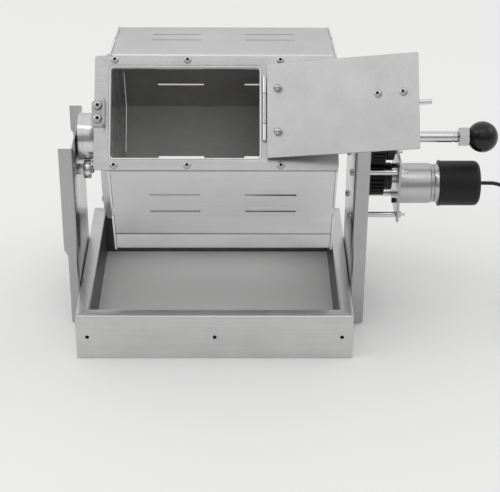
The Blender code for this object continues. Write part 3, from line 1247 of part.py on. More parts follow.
def make_drive(drum):
    shaft_length = SHAFT_END - FLANGE_LEFT
    profile = [(0, shaft_length), (SHAFT_RADIUS, shaft_length), (SHAFT_RADIUS, SHAFT_FLANGE_THICKNESS),
               (SHAFT_FLANGE_RADIUS, SHAFT_FLANGE_THICKNESS), (SHAFT_FLANGE_RADIUS, 0), (0, 0)]
    shaft = part("drum_shaft", turned(profile, MEDIUM_SIDES), drum, POLISHED_STEEL, along_x(FLANGE_LEFT))
    reach = FLANGE_RIGHT - (DRUM_RIGHT - END_PLATE)
    screw = screw_mesh(FLANGE_SCREW_RADIUS, reach, FLANGE_SCREW_HEAD_RADIUS, FLANGE_SCREW_HEAD_HEIGHT)
    fuse(shaft, screw, flange_screw_frames(FLANGE_RIGHT - JOIN_SINK))

    gear = part("drum_gear", prism([gear_outline(DRUM_TEETH)], GEAR_WIDTH), drum, BLACK_PLASTIC,
                along_x(GEAR_LEFT))
    hub_left = HOUSING_RIGHT + RUN_GAP
    fuse(gear, cylinder(GEAR_HUB_RADIUS, GEAR_LEFT - hub_left + SHEET, MEDIUM_SIDES), [along_x(hub_left)])
    cut(gear, cylinder(SHAFT_RADIUS + HOLE_GAP, GEAR_RIGHT - hub_left + CUT_OVERRUN * 2, MEDIUM_SIDES),
        [along_x(hub_left - CUT_OVERRUN)])

    inside = SHAFT_RADIUS + HOLE_GAP
    length = COLLAR_BOSS_LENGTH + COLLAR_WIDTH
    edge = COLLAR_RADIUS - COLLAR_CHAMFER
    ring = [(inside, length), (edge, length), (COLLAR_RADIUS, length - COLLAR_CHAMFER),
            (COLLAR_RADIUS, COLLAR_BOSS_LENGTH), (COLLAR_BOSS_RADIUS, COLLAR_BOSS_LENGTH),
            (COLLAR_BOSS_RADIUS, 0),
            (inside, 0)]
    part("gear_collar", turned(ring, LARGE_SIDES, ring=True), drum, BLACK_PLASTIC, along_x(COLLAR_LEFT))

    stud_end = ROD_LENGTH + TOUCH_GAP * 2 + LOCK_NUT_HEIGHT + STUD_IN_KNOB
    groove = ROD_LENGTH - ROD_GROOVE_SETBACK
    waist = ROD_RADIUS - ROD_GROOVE_DEPTH
    rod = [(0, stud_end), (STUD_RADIUS, stud_end), (STUD_RADIUS, ROD_LENGTH),
           (ROD_RADIUS - ROD_CHAMFER, ROD_LENGTH),
           (ROD_RADIUS, ROD_LENGTH - ROD_CHAMFER), (ROD_RADIUS, groove + ROD_GROOVE_WIDTH),
           (waist, groove + ROD_GROOVE_WIDTH), (waist, groove), (ROD_RADIUS, groove), (ROD_RADIUS, 0), (0, 0)]
    part("handle_rod", turned(rod, MEDIUM_SIDES), drum, POLISHED_STEEL, along_x(ROD_LEFT))

    corner = LOCK_NUT_FLATS / 2 / math.cos(math.pi / HEX_SIDES)
    nut = prism([polygon(corner, HEX_SIDES), polygon(STUD_RADIUS + HOLE_GAP, SMALL_SIDES)], LOCK_NUT_HEIGHT)
    part("lock_nut", nut, drum, BRIGHT_METAL, along_x(NUT_LEFT))

    middle = KNOB_CENTRE - KNOB_LEFT
    neck = math.asin(KNOB_NECK_RADIUS / KNOB_RADIUS) - math.pi / 2
    ball = arc((0, middle), KNOB_RADIUS, math.pi / 2, neck, KNOB_ARC_STEPS)
    hole = STUD_RADIUS + HOLE_GAP
    depth = STUD_IN_KNOB + HOLE_GAP
    profile = [(0, middle + KNOB_RADIUS), *ball[1:], (hole, 0), (hole, depth), (0, depth)]
    part("ball_knob", turned(profile, MEDIUM_SIDES), drum, KNOB_PLASTIC, along_x(KNOB_LEFT))


# Drum: front panel, catch and the hinge's fixed half

def make_panel(face):
    outline = rectangle(PANEL_LEFT, PANEL_BOTTOM, PANEL_RIGHT, PANEL_TOP, PANEL_CORNER_RADIUS)
    half = OPENING_HEIGHT / 2
    opening = rectangle(OPENING_LEFT, -half, OPENING_RIGHT, half, OPENING_CORNER_RADIUS)
    panel = part("front_panel", prism([outline], PANEL_SHEET), face, PANEL_STEEL, move(z=PANEL_INNER))
    wall = PANEL_SHEET
    around = rectangle(OPENING_LEFT - wall, -half - wall, OPENING_RIGHT + wall, half + wall,
                       OPENING_CORNER_RADIUS + wall)
    fuse(panel, prism([around], OPENING_FLANGE - JOIN_SINK), [move(z=PANEL_OUTER - OPENING_FLANGE)])
    through = prism([opening], OPENING_FLANGE + CUT_OVERRUN * 2)
    cut(panel, through, [move(z=PANEL_OUTER - OPENING_FLANGE - CUT_OVERRUN)])
    through = PANEL_SHEET + CUT_OVERRUN * 2
    low = PANEL_INNER - CUT_OVERRUN
    cut(panel, cylinder(PANEL_SCREW_RADIUS + HOLE_GAP, through, SCREW_SIDES),
        [move(x, y, low) for x, y in catch_screw_places()])
    cut(panel, cylinder(LEAF_SCREW_RADIUS + HOLE_GAP, through, SCREW_SIDES),
        [move(x, y, low) for x, y in leaf_screw_places()])
    reach = PANEL_OUTER - FACE_DISTANCE + SHEET
    screw = screw_mesh(PANEL_SCREW_RADIUS, reach, PANEL_SCREW_HEAD_RADIUS, PANEL_SCREW_HEAD_HEIGHT)
    frames = [move(x, y, PANEL_OUTER - JOIN_SINK) for x, y in panel_screw_places()]
    fuse(panel, screw, frames)
    cut(panel, *socket(PANEL_SCREW_HEAD_RADIUS, PANEL_SCREW_HEAD_HEIGHT, frames))


def catch_screw_places():
    x = PANEL_LEFT - CATCH_OVERHANG + CATCH_SCREW_SETBACK
    return [(x, LATCH_HEIGHT + CATCH_SCREW_SPREAD / 2), (x, LATCH_HEIGHT - CATCH_SCREW_SPREAD / 2)]


def make_catch(face):
    left = PANEL_LEFT - CATCH_OVERHANG
    right = left + CATCH_WIDTH
    low, high = LATCH_HEIGHT - CATCH_BELOW, LATCH_HEIGHT + CATCH_ABOVE
    bottom = PANEL_OUTER + TOUCH_GAP
    top, lip = PANEL_OUTER + CATCH_LIP_HEIGHT, right - CATCH_LIP_THICKNESS
    profile = [(left - CUT_OVERRUN, bottom), (right, bottom), (right, top), (lip, top),
               (lip, bottom + CATCH_SHEET),
               (left - CUT_OVERRUN, bottom + CATCH_SHEET)]
    folded = prism([profile], high - low + CUT_OVERRUN * 2)
    catch = part("catch_plate", folded, face, PANEL_STEEL, facing_front(high + CUT_OVERRUN))
    beyond = right + CUT_OVERRUN
    corners = [(left, low), (beyond, low), (beyond, high), (left, high)]
    outline = rounded_outline(corners, [CATCH_CORNER_RADIUS, 0, 0, CATCH_CORNER_RADIUS])
    keep_inside(catch, prism([outline], CATCH_LIP_HEIGHT + CUT_OVERRUN * 2), move(z=bottom - CUT_OVERRUN))
    hole = cylinder(LATCH_RADIUS + RUN_GAP, CATCH_LIP_THICKNESS + CUT_OVERRUN * 2)
    rod_height = PIN_OUT - DOOR_OUTER + ROD_OFFSET
    cut(catch, hole, [against_x(right + CUT_OVERRUN, LATCH_HEIGHT, rod_height)])
    cut(catch, cylinder(PANEL_SCREW_RADIUS + HOLE_GAP, CATCH_SHEET + CUT_OVERRUN * 2, SCREW_SIDES),
        [move(x, y, bottom - CUT_OVERRUN) for x, y in catch_screw_places()])
    seat = bottom + CATCH_SHEET + TOUCH_GAP
    screw = screw_mesh(PANEL_SCREW_RADIUS, seat - PANEL_INNER + PANEL_SCREW_END, CATCH_HEAD_RADIUS,
                       CATCH_HEAD_HEIGHT)
    frames = [move(x, y, seat) for x, y in catch_screw_places()]
    names = ("upper_catch_screw", "lower_catch_screw")
    for head, frame in zip(part_set(names, screw, frames, face, FASTENER_STEEL), frames):
        cut(head, *socket(CATCH_HEAD_RADIUS, CATCH_HEAD_HEIGHT, [frame]))


def upward(x, y, z):
    """A frame whose own Z points along +Y, up the panel."""
    return move(x, y, z) @ Matrix.Rotation(-math.pi / 2, 4, "X")


def knuckle_arc(leaf_high, leaf_low):
    """The knuckle's outline, from the leaf's upper side round the pin to its lower side."""
    start = math.asin(leaf_high / KNUCKLE_RADIUS)
    end = math.pi - math.asin(max(leaf_low / KNUCKLE_RADIUS, -1))
    if leaf_low > -KNUCKLE_RADIUS:
        end = math.tau + math.asin(leaf_low / KNUCKLE_RADIUS)
    return arc((0, 0), KNUCKLE_RADIUS, start, end, KNUCKLE_STEPS)


def make_fixed_hinge(face):
    half = MIDDLE_KNUCKLE / 2
    end = half + END_KNUCKLE
    clear = KNUCKLE_RADIUS + KNUCKLE_GAP
    notch = half + KNUCKLE_GAP
    bottom = PANEL_OUTER + TOUCH_GAP
    low = bottom - PIN_OUT
    profile = knuckle_arc(low + LEAF, low) + [(0, low), (FIXED_LEAF_WIDTH, low), (FIXED_LEAF_WIDTH, low + LEAF)]
    centre = move(PIN_X, HINGE_CENTRE, PIN_OUT)
    leaf = part("fixed_hinge_leaf", prism([profile], end * 2), face, PANEL_STEEL, centre @ facing_front(end))
    middle = block((-clear, -notch, -clear), (clear, notch, clear))
    cut(leaf, middle, [centre])
    bore = cylinder(PIN_RADIUS + HOLE_GAP, end * 2 + CUT_OVERRUN * 2)
    cut(leaf, bore, [upward(PIN_X, HINGE_CENTRE - end - CUT_OVERRUN, PIN_OUT)])
    seat = bottom + LEAF - JOIN_SINK
    reach = seat - (FACE_DISTANCE - SHEET)
    screw = cap_screw_mesh(LEAF_SCREW_RADIUS, reach, LEAF_SCREW_HEAD_RADIUS, LEAF_SCREW_HEAD_HEIGHT)
    fuse(leaf, screw, [move(x, y, seat) for x, y in leaf_screw_places()])
    length = end * 2 + PIN_TIP + TOUCH_GAP
    pin = [(0, length + PIN_HEAD_HEIGHT), (PIN_HEAD_RADIUS, length + PIN_HEAD_HEIGHT),
           (PIN_HEAD_RADIUS, length),
           (PIN_RADIUS, length), (PIN_RADIUS, 0), (0, 0)]
    part("hinge_pin", turned(pin, SMALL_SIDES), face, POLISHED_STEEL,
         upward(PIN_X, HINGE_CENTRE - end - PIN_TIP, PIN_OUT))


# Door, in the pin's own frame: X along the door, Y up and Z out of its inner face

def door_frame():
    along = Vector((-math.cos(DOOR_OPENED), 0, math.sin(DOOR_OPENED)))
    up = Vector((0, 1, 0))
    turn = Matrix((along, up, along.cross(up))).transposed().to_4x4()
    return move(PIN_X, 0, PIN_OUT) @ turn


def door_screw_places():
    return [(DOOR_SCREW_SETBACK, DOOR_SCREW_ROW), (DOOR_SCREW_SETBACK, -DOOR_SCREW_ROW)]


def latch_screw_places():
    return [(DOOR_END - setback, LATCH_SCREW_HEIGHT) for setback in LATCH_SCREW_SETBACKS]


def turned_over(frames):
    return [frame @ Matrix.Rotation(math.pi, 4, "X") for frame in frames]


def make_door(door):
    outline = rectangle(DOOR_START, -DOOR_HALF, DOOR_END, DOOR_HALF, DOOR_CORNER_RADIUS)
    panel = part("door_panel", prism([outline], DOOR_SHEET), door, DOOR_STEEL, move(z=DOOR_OUTER))
    low = DOOR_OUTER - CUT_OVERRUN
    through = DOOR_SHEET + CUT_OVERRUN * 2
    cut(panel, cylinder(DOOR_SCREW_RADIUS + HOLE_GAP, through, SCREW_SIDES),
        [move(x, y, low) for x, y in door_screw_places()])
    cut(panel, cylinder(LATCH_SCREW_RADIUS + HOLE_GAP, through, SCREW_SIDES),
        [move(x, y, low) for x, y in latch_screw_places()])


def make_door_hinge(door):
    half = MIDDLE_KNUCKLE / 2 - KNUCKLE_GAP / 2
    clear = KNUCKLE_RADIUS + KNUCKLE_GAP
    low, high = HINGE_CENTRE - half, HINGE_CENTRE + half
    profile = knuckle_arc(DOOR_LEAF_INNER, DOOR_LEAF_OUTER)
    profile += [(DOOR_LEAF_WIDTH, DOOR_LEAF_OUTER), (DOOR_LEAF_WIDTH, DOOR_LEAF_INNER)]
    leaf = part("door_hinge_leaf", prism([profile], DOOR_LEAF_HALF * 2), door, PANEL_STEEL,
                facing_front(DOOR_LEAF_HALF))
    over = DOOR_LEAF_HALF + CUT_OVERRUN
    for bottom, top in ((high, over), (-over, low)):
        cut(leaf, block((-clear, bottom, -clear), (clear, top, clear)), [Matrix.Identity(4)])
    cut(leaf, cylinder(PIN_RADIUS + HOLE_GAP, half * 2 + CUT_OVERRUN * 2), [upward(0, low - CUT_OVERRUN, 0)])
    cut(leaf, cylinder(DOOR_SCREW_RADIUS + HOLE_GAP, LEAF + CUT_OVERRUN * 2, SCREW_SIDES),
        [move(x, y, DOOR_LEAF_OUTER - CUT_OVERRUN) for x, y in door_screw_places()])
    seat = DOOR_LEAF_OUTER - TOUCH_GAP
    top = DOOR_INNER + TOUCH_GAP
    reach = top + DOME_NUT_HEIGHT / 2 - seat
    screw = cap_screw_mesh(DOOR_SCREW_RADIUS, reach, DOOR_HEAD_RADIUS, DOOR_HEAD_HEIGHT)
    frames = turned_over([move(x, y, seat) for x, y in door_screw_places()])
    names = ("upper_hinge_screw", "lower_hinge_screw")
    for head, frame in zip(part_set(names, screw, frames, door, FASTENER_STEEL), frames):
        cut(head, *socket(DOOR_HEAD_RADIUS, DOOR_HEAD_HEIGHT, [frame]))
    bore = DOOR_SCREW_RADIUS + HOLE_GAP
    rise = DOME_NUT_HEIGHT - DOME_NUT_HEX
    dome = [(DOME_NUT_DOME_RADIUS * math.cos(angle), DOME_NUT_HEX + rise * math.sin(angle))
            for angle in (math.pi / 2, math.pi / 3, math.pi / 6, 0)]
    depth = DOME_NUT_HEIGHT / 2 + HOLE_GAP
    nut = [(0, DOME_NUT_HEIGHT), *dome[1:], (DOME_NUT_RADIUS, DOME_NUT_HEX), (DOME_NUT_RADIUS, 0), (bore, 0),
           (bore, depth), (0, depth)]
    part_set(("upper_dome_nut", "lower_dome_nut"), turned(nut, SCREW_SIDES),
             [move(x, y, top) for x, y in door_screw_places()], door, FASTENER_STEEL)


def make_latch_bracket(door):
    right = DOOR_END - BRACKET_FREE_SETBACK
    left = right - BRACKET_LENGTH
    top = DOOR_OUTER - TOUCH_GAP
    bottom = top - BRACKET_SHEET
    outline = rectangle(left, BRACKET_LOW, right, BRACKET_HIGH)
    bracket = part("latch_bracket", prism([outline], BRACKET_SHEET), door, PANEL_STEEL, move(z=bottom))
    rod = DOOR_OUTER - ROD_OFFSET
    tip = rod - LATCH_RADIUS - RUN_GAP - BRACKET_SHEET
    for edge in (left + JOIN_SINK, right - BRACKET_SHEET - JOIN_SINK):
        ear = block((edge, LATCH_HEIGHT - EAR_HALF_WIDTH, tip),
                    (edge + BRACKET_SHEET, LATCH_HEIGHT + EAR_HALF_WIDTH, bottom + BRACKET_SHEET / 2))
        fuse(bracket, ear, [Matrix.Identity(4)])
    hole = cylinder(LATCH_RADIUS + RUN_GAP, BRACKET_LENGTH + CUT_OVERRUN * 2)
    cut(bracket, hole, [along_x(left - CUT_OVERRUN, LATCH_HEIGHT, rod)])
    cut(bracket, cylinder(LATCH_SCREW_RADIUS + HOLE_GAP, BRACKET_SHEET + CUT_OVERRUN * 2, SCREW_SIDES),
        [move(x, y, bottom - CUT_OVERRUN) for x, y in latch_screw_places()])
    seat = DOOR_INNER + TOUCH_GAP
    reach = seat - bottom + TOUCH_GAP + LATCH_NUT_HEIGHT
    screw = screw_mesh(LATCH_SCREW_RADIUS, reach, LATCH_SCREW_HEAD_RADIUS, LATCH_SCREW_HEAD_HEIGHT)
    frames = [move(x, y, seat) for x, y in latch_screw_places()]
    nut = prism([polygon(LATCH_NUT_RADIUS, HEX_SIDES)], LATCH_NUT_HEIGHT)
    names = ("inner_latch_screw", "outer_latch_screw")
    for head, frame in zip(part_set(names, screw, frames, door, FASTENER_STEEL), frames):
        fuse(head, nut, [frame @ move(z=-reach)])
        cut(head, *socket(LATCH_SCREW_HEAD_RADIUS, LATCH_SCREW_HEAD_HEIGHT, [frame]))


def make_latch(door):
    slide = new_empty("latch_slide", door, move(0, LATCH_HEIGHT, DOOR_OUTER - ROD_OFFSET))
    start = DOOR_END - BRACKET_FREE_SETBACK - BRACKET_LENGTH - LATCH_TAIL
    end = DOOR_END + LATCH_REACH
    length = end - start
    bolt = [(0, length), (LATCH_RADIUS - LATCH_CHAMFER, length), (LATCH_RADIUS, length - LATCH_CHAMFER),
            (LATCH_RADIUS, LATCH_CHAMFER), (LATCH_RADIUS - LATCH_CHAMFER, 0), (0, 0)]
    rod = part("latch_bolt", turned(bolt, SMALL_SIDES), slide, POLISHED_STEEL, along_x(start))
    peg_x = DOOR_END - PEG_SETBACK
    outward = move(x=peg_x) @ Matrix.Rotation(math.pi, 4, "X")
    cut(rod, cylinder(PEG_RADIUS + PEG_IN_ROD_GAP, LATCH_RADIUS + CUT_OVERRUN), [outward])
    foot = PEG_IN_ROD_GAP
    peg = [(0, PEG_LENGTH), (PEG_HEAD_RADIUS, PEG_LENGTH), (PEG_HEAD_RADIUS, PEG_LENGTH - PEG_HEAD_LENGTH),
           (PEG_RADIUS, PEG_LENGTH - PEG_HEAD_LENGTH), (PEG_RADIUS, foot), (0, foot)]
    part("latch_pull", turned(peg, SMALL_SIDES), slide, POLISHED_STEEL, outward)


# Building the whole roaster

def rest_origin(stand):
    """Moves the stand so that the origin is in the middle of the bottom of the box, the lead left out."""
    bpy.context.view_layer.update()
    depsgraph = bpy.context.evaluated_depsgraph_get()
    corners = []
    for thing in PARTS.objects:
        if thing.type == "MESH" and thing.name not in CORD_PARTS:
            evaluated = thing.evaluated_get(depsgraph)
            corners += [thing.matrix_world @ vertex.co for vertex in evaluated.to_mesh().vertices]
            evaluated.to_mesh_clear()
    low = [min(corner[axis] for corner in corners) for axis in range(3)]
    high = [max(corner[axis] for corner in corners) for axis in range(3)]
    stand.location = (-(low[0] + high[0]) / 2, -(low[1] + high[1]) / 2, -low[2])
    bpy.context.view_layer.update()
    print("origin of the stand", [round(value * 1000, 3) for value in stand.location])


def build():
    stand = new_empty("stand_origin", None, Matrix.Identity(4))
    make_rails(stand)
    make_left_upright(stand)
    make_right_upright(stand)
    make_roller_bolts(stand)
    make_rollers(stand)
    make_bearing(stand)
    make_motor_plate(stand)
    make_standoffs(stand)
    make_gearbox(stand)
    make_motor(stand)
    make_motor_cover(stand)
    make_lead(stand)
    make_pinion(stand)

    drum = new_empty("drum_axis", stand, move(y=AXIS_SETBACK, z=AXIS_HEIGHT))
    make_shell(drum)
    make_end_plates(drum)
    make_end_cap(drum)
    make_drive(drum)
    face = new_empty("panel_face", drum, face_frame(PANEL_ELEVATION))
    make_panel(face)
    make_catch(face)
    make_fixed_hinge(face)

    door = new_empty("door_pin", face, door_frame())
    make_door(door)
    make_door_hinge(door)
    make_latch_bracket(door)
    make_latch(door)
    rest_origin(stand)


clear_scene()
PARTS = new_collection("coffee_roaster")
CUTTERS = new_collection("cutters")
BASE_STEEL = new_material("base_steel", (0.40, 0.40, 0.41), 0.42, 0.9)
UPRIGHT_STEEL = new_material("upright_steel", (0.36, 0.36, 0.37), 0.35, 0.9)
DRUM_STEEL = new_material("drum_steel", (0.50, 0.50, 0.51), 0.45, 0.85)
PANEL_STEEL = new_material("panel_steel", (0.52, 0.52, 0.53), 0.42, 0.85)
DOOR_STEEL = new_material("door_steel", (0.50, 0.50, 0.51), 0.45, 0.85)
POLISHED_STEEL = new_material("polished_steel", (0.72, 0.72, 0.73), 0.12, 1.0)
FASTENER_STEEL = new_material("fastener_steel", (0.62, 0.62, 0.63), 0.22, 1.0)
BRIGHT_METAL = new_material("bright_metal", (0.60, 0.60, 0.61), 0.28, 1.0)
BEARING_BRONZE = new_material("bearing_bronze", (0.45, 0.32, 0.16), 0.4, 1.0)
BLACK_STEEL = new_material("black_steel", (0.03, 0.03, 0.03), 0.35, 0.6)
BLACK_PLASTIC = new_material("black_plastic", (0.025, 0.025, 0.027), 0.45, 0.0)
KNOB_PLASTIC = new_material("knob_plastic", (0.012, 0.012, 0.013), 0.12, 0.0)
LEAD_PLASTIC = new_material("lead_plastic", (0.022, 0.022, 0.024), 0.5, 0.0)
build()
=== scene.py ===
"""Looks of a home coffee bean roaster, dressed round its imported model.

Lengths are metres. The places below are in the stand's own frame: x = 0 is the middle of the stand, y = 0 its
front and z = 0 the table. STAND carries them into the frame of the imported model.
"""
import json
import math

import bmesh
import bpy
from mathutils import Matrix, Vector

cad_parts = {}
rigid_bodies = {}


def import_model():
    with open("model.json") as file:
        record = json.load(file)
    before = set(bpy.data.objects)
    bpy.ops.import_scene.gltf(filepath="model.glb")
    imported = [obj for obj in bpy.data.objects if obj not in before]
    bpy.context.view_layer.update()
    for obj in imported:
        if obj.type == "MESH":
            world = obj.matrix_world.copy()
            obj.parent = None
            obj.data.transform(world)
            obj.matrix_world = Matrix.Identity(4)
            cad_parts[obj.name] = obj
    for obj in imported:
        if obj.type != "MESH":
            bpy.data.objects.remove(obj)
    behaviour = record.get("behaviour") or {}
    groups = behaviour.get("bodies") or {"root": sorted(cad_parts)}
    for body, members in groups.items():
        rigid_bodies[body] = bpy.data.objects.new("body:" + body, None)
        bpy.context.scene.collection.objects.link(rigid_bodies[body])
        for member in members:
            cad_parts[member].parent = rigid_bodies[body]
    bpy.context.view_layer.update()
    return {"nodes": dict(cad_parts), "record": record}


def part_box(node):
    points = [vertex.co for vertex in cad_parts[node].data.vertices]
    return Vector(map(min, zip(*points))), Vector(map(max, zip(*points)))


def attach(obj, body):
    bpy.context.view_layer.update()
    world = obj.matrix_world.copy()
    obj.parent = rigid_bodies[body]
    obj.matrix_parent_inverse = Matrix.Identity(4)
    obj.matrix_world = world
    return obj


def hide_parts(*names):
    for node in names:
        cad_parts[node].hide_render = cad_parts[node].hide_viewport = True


for thing in list(bpy.data.objects):
    bpy.data.objects.remove(thing, do_unlink=True)
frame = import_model()
NODES = frame["nodes"]

STAND = Matrix.Translation((-0.067685, -0.10289, 0))

# Places of the model, as its source has them
AXIS_Y = 0.1165
AXIS_Z = 0.194
WEB_INNER = 0.1403
WEB_OUTER = 0.1418
PANEL_ELEVATION = math.radians(38.06)
PANEL_OUTER = 0.1019
OPENING_LEFT = -0.0986
OPENING_RIGHT = 0.044
OPENING_HALF = 0.0444
PIN_X = 0.0489
PIN_OUT = 0.1047
DOOR_OPENED = math.radians(163.36)
CORD_RADIUS = 0.002

# The photo's camera, fitted to the straight edges of the stand, the drum and the panel
CAMERA_PLACE = (-0.046665, -1.352683, 0.82965)
CAMERA_YAW = math.radians(-0.646)
CAMERA_PITCH = math.radians(29.216)
CAMERA_ROLL = math.radians(-0.363)
CAMERA_LENS = 105.695
CAMERA_SENSOR = 36.0
CLIP_START = 0.05
CLIP_END = 50

# Studio
WORLD_LEVEL = 0.88
SKY_LOW = (0.8, 0.8, 0.8, 1)
SKY_HIGH = (1.0, 1.0, 0.995, 1)
DARK_ROOM = (0.36, 0.36, 0.365, 1)
FLOOR_COLOUR = (0.9, 0.9, 0.895, 1)
# Spans of the room's dark front side, of its lower part and of the sky's rise in brightness
FRONT_SPAN, LOW_SPAN, SKY_SPAN = (-0.55, 0.05), (0.34, 0.66), (0.0, 0.8)
FLOOR_SIZE = 8
FLOOR_DROP = 0.0004
# Each lamp's name, place, target, size and power
LAMPS = [
    ("front_softbox", (-0.4, -0.9, 2.8), (-0.03, 0.0, 0.15), (2.6, 0.45), 6),
    ("left_softbox", (-2.2, -0.3, 1.6), (-0.03, 0.0, 0.12), (1.6, 1.2), 8),
    ("right_softbox", (2.1, 0.3, 1.9), (0.02, 0.0, 0.15), (1.2, 1.2), 5)]

# Widths of the broken edges
TINY_EDGE, TIE_EDGE, FINE_EDGE = 0.0001, 0.00012, 0.0002
SHEET_EDGE, PLATE_EDGE, RAIL_EDGE = 0.0003, 0.0004, 0.0005
# Facets of round shapes
LARGE_STEPS, ROUND_STEPS, SMALL_STEPS, PIN_STEPS, RIVET_STEPS = 128, 96, 64, 48, 40
# Edges and meshes
SMOOTH_ANGLE = 35
BEVEL_ANGLE = math.radians(30)
FLAT_ANGLE = math.radians(0.6)
MERGE_DISTANCE = 2e-6
TIP_RADIUS = 1e-7
FOLD_SEGMENTS = 6

# Finishes: how fine the clouds of wear are, and how deep the lines and the grain
METAL_BLOTCH, METAL_RELIEF = 22.0, 0.0004
PLASTIC_BLOTCH, PLASTIC_RELIEF = 35.0, 0.0003
# Ways of the fine lines
ALONG_X, ALONG_Z, ACROSS_DOOR = (7, 900, 900), (900, 900, 7), (900, 700, 9)
POLISHED = {"rough_spread": 0.02, "line_gloss": 0.008}
PLATED = {"rough_spread": 0.02, "line_gloss": 0.01}
SMOOTHED = {"rough_spread": 0.05, "line_gloss": 0.015}
WORN_SMOOTH = {"rough_spread": 0.05, "line_gloss": 0.02}


# Camera, lamps and floor

def linked(name, data):
    """A new object of the scene."""
    thing = bpy.data.objects.new(name, data)
    bpy.context.scene.collection.objects.link(thing)
    return thing


def set_camera():
    ahead = Vector((-math.sin(CAMERA_YAW), math.cos(CAMERA_YAW), 0))
    right = Vector((math.cos(CAMERA_YAW), math.sin(CAMERA_YAW), 0))
    upright = Vector((0, 0, 1))
    forward = ahead * math.cos(CAMERA_PITCH) - upright * math.sin(CAMERA_PITCH)
    up = ahead * math.sin(CAMERA_PITCH) + upright * math.cos(CAMERA_PITCH)
    across = right * math.cos(CAMERA_ROLL) - up * math.sin(CAMERA_ROLL)
    above = right * math.sin(CAMERA_ROLL) + up * math.cos(CAMERA_ROLL)
    data = bpy.data.cameras.new("camera")
    data.sensor_fit = "HORIZONTAL"
    data.sensor_width = CAMERA_SENSOR
    data.lens = CAMERA_LENS
    data.clip_start = CLIP_START
    data.clip_end = CLIP_END
    camera = linked("camera", data)
    place = Matrix((across, above, -forward)).transposed().to_4x4()
    place.translation = CAMERA_PLACE
    camera.matrix_world = place
    bpy.context.scene.camera = camera


def add_lamp(name, place, target, size, power):
    data = bpy.data.lights.new(name, "AREA")
    data.shape = "RECTANGLE"
    data.size, data.size_y = size
    data.energy = power
    lamp = linked(name, data)
    lamp.location = place
    lamp.rotation_euler = (Vector(target) - Vector(place)).to_track_quat("-Z", "Y").to_euler()


def add_node(tree, kind, **values):
    """A node whose sockets are set by name, with an underscore for each space."""
    node = tree.nodes.new(kind)
    for socket, value in values.items():
        node.inputs[socket.replace("_", " ")].default_value = value
    return node


def combined(tree, first, second, operation="MULTIPLY"):
    node = tree.nodes.new("ShaderNodeMath")
    node.operation = operation
    tree.links.new(first, node.inputs[0])
    tree.links.new(second, node.inputs[1])
    return node.outputs[0]


def spread(tree, value, low, high, start=0.3, end=0.7, kind="LINEAR"):
    """The value, carried from the span start to end into the span low to high."""
    scaled = add_node(tree, "ShaderNodeMapRange", From_Min=start, From_Max=end, To_Min=low, To_Max=high)
    scaled.interpolation_type = kind
    tree.links.new(value, scaled.inputs["Value"])
    return scaled.outputs["Result"]


def set_world():
    """A pale studio, brighter overhead, whose front side is darker near the horizon, as a room is."""
    world = bpy.data.worlds.new("studio")
    bpy.context.scene.world = world
    world.use_nodes = True
    tree = world.node_tree
    tree.nodes.clear()
    out = tree.nodes.new("ShaderNodeOutputWorld")
    light = add_node(tree, "ShaderNodeBackground", Strength=WORLD_LEVEL)
    coordinates = tree.nodes.new("ShaderNodeTexCoord")
    parts = tree.nodes.new("ShaderNodeSeparateXYZ")
    tree.links.new(coordinates.outputs["Generated"], parts.inputs[0])
    forward = spread(tree, parts.outputs["Y"], 1.0, 0.0, *FRONT_SPAN, "SMOOTHSTEP")
    low = spread(tree, parts.outputs["Z"], 1.0, 0.0, *LOW_SPAN, "SMOOTHSTEP")
    overhead = spread(tree, parts.outputs["Z"], 0.0, 1.0, *SKY_SPAN, "SMOOTHSTEP")
    sky = add_node(tree, "ShaderNodeMixRGB", Color1=SKY_LOW, Color2=SKY_HIGH)
    tree.links.new(overhead, sky.inputs["Fac"])
    mixed = add_node(tree, "ShaderNodeMixRGB", Color2=DARK_ROOM)
    tree.links.new(combined(tree, forward, low), mixed.inputs["Fac"])
    tree.links.new(sky.outputs["Color"], mixed.inputs["Color1"])
    tree.links.new(mixed.outputs["Color"], light.inputs["Color"])
    tree.links.new(light.outputs[0], out.inputs["Surface"])


def set_stage():
    """A pale floor that runs far past the view."""
    material, _, shader = new_material("pale_floor", 0.0, 0.1)
    shader.inputs["Base Color"].default_value = FLOOR_COLOUR
    shader.inputs["Roughness"].default_value = 0.9
    grid = bmesh.new()
    bmesh.ops.create_grid(grid, x_segments=2, y_segments=2, size=FLOOR_SIZE)
    mesh = finished(grid, "floor")
    mesh.materials.append(material)
    floor = linked("floor", mesh)
    floor.location.z = -FLOOR_DROP


# Frames

def move(x=0.0, y=0.0, z=0.0):
    return Matrix.Translation((x, y, z))


def along_x(x, y=AXIS_Y, z=AXIS_Z):
    """A frame whose own Z points along +X."""
    return STAND @ move(x, y, z) @ Matrix.Rotation(math.pi / 2, 4, "Y")


def against_x(x, y=AXIS_Y, z=AXIS_Z):
    """A frame whose own Z points along -X."""
    return STAND @ move(x, y, z) @ Matrix.Rotation(-math.pi / 2, 4, "Y")


def face_frame(turn=0):
    """The frame of one of the drum's six faces: X along the drum, Y up the face and Z out of it."""
    elevation = PANEL_ELEVATION + math.tau * turn / 6
    up = Vector((0, math.sin(elevation), math.cos(elevation)))
    out = Vector((0, -math.cos(elevation), math.sin(elevation)))
    axes = Matrix((Vector((1, 0, 0)), up, out)).transposed().to_4x4()
    return STAND @ move(y=AXIS_Y, z=AXIS_Z) @ axes


def door_frame():
    """The opened door's frame at the pin: X along the door, Y up and Z out of its inner face."""
    along = Vector((-math.cos(DOOR_OPENED), 0, math.sin(DOOR_OPENED)))
    up = Vector((0, 1, 0))
    turn = Matrix((along, up, along.cross(up))).transposed().to_4x4()
    return face_frame() @ move(PIN_X, 0, PIN_OUT) @ turn


# Meshes

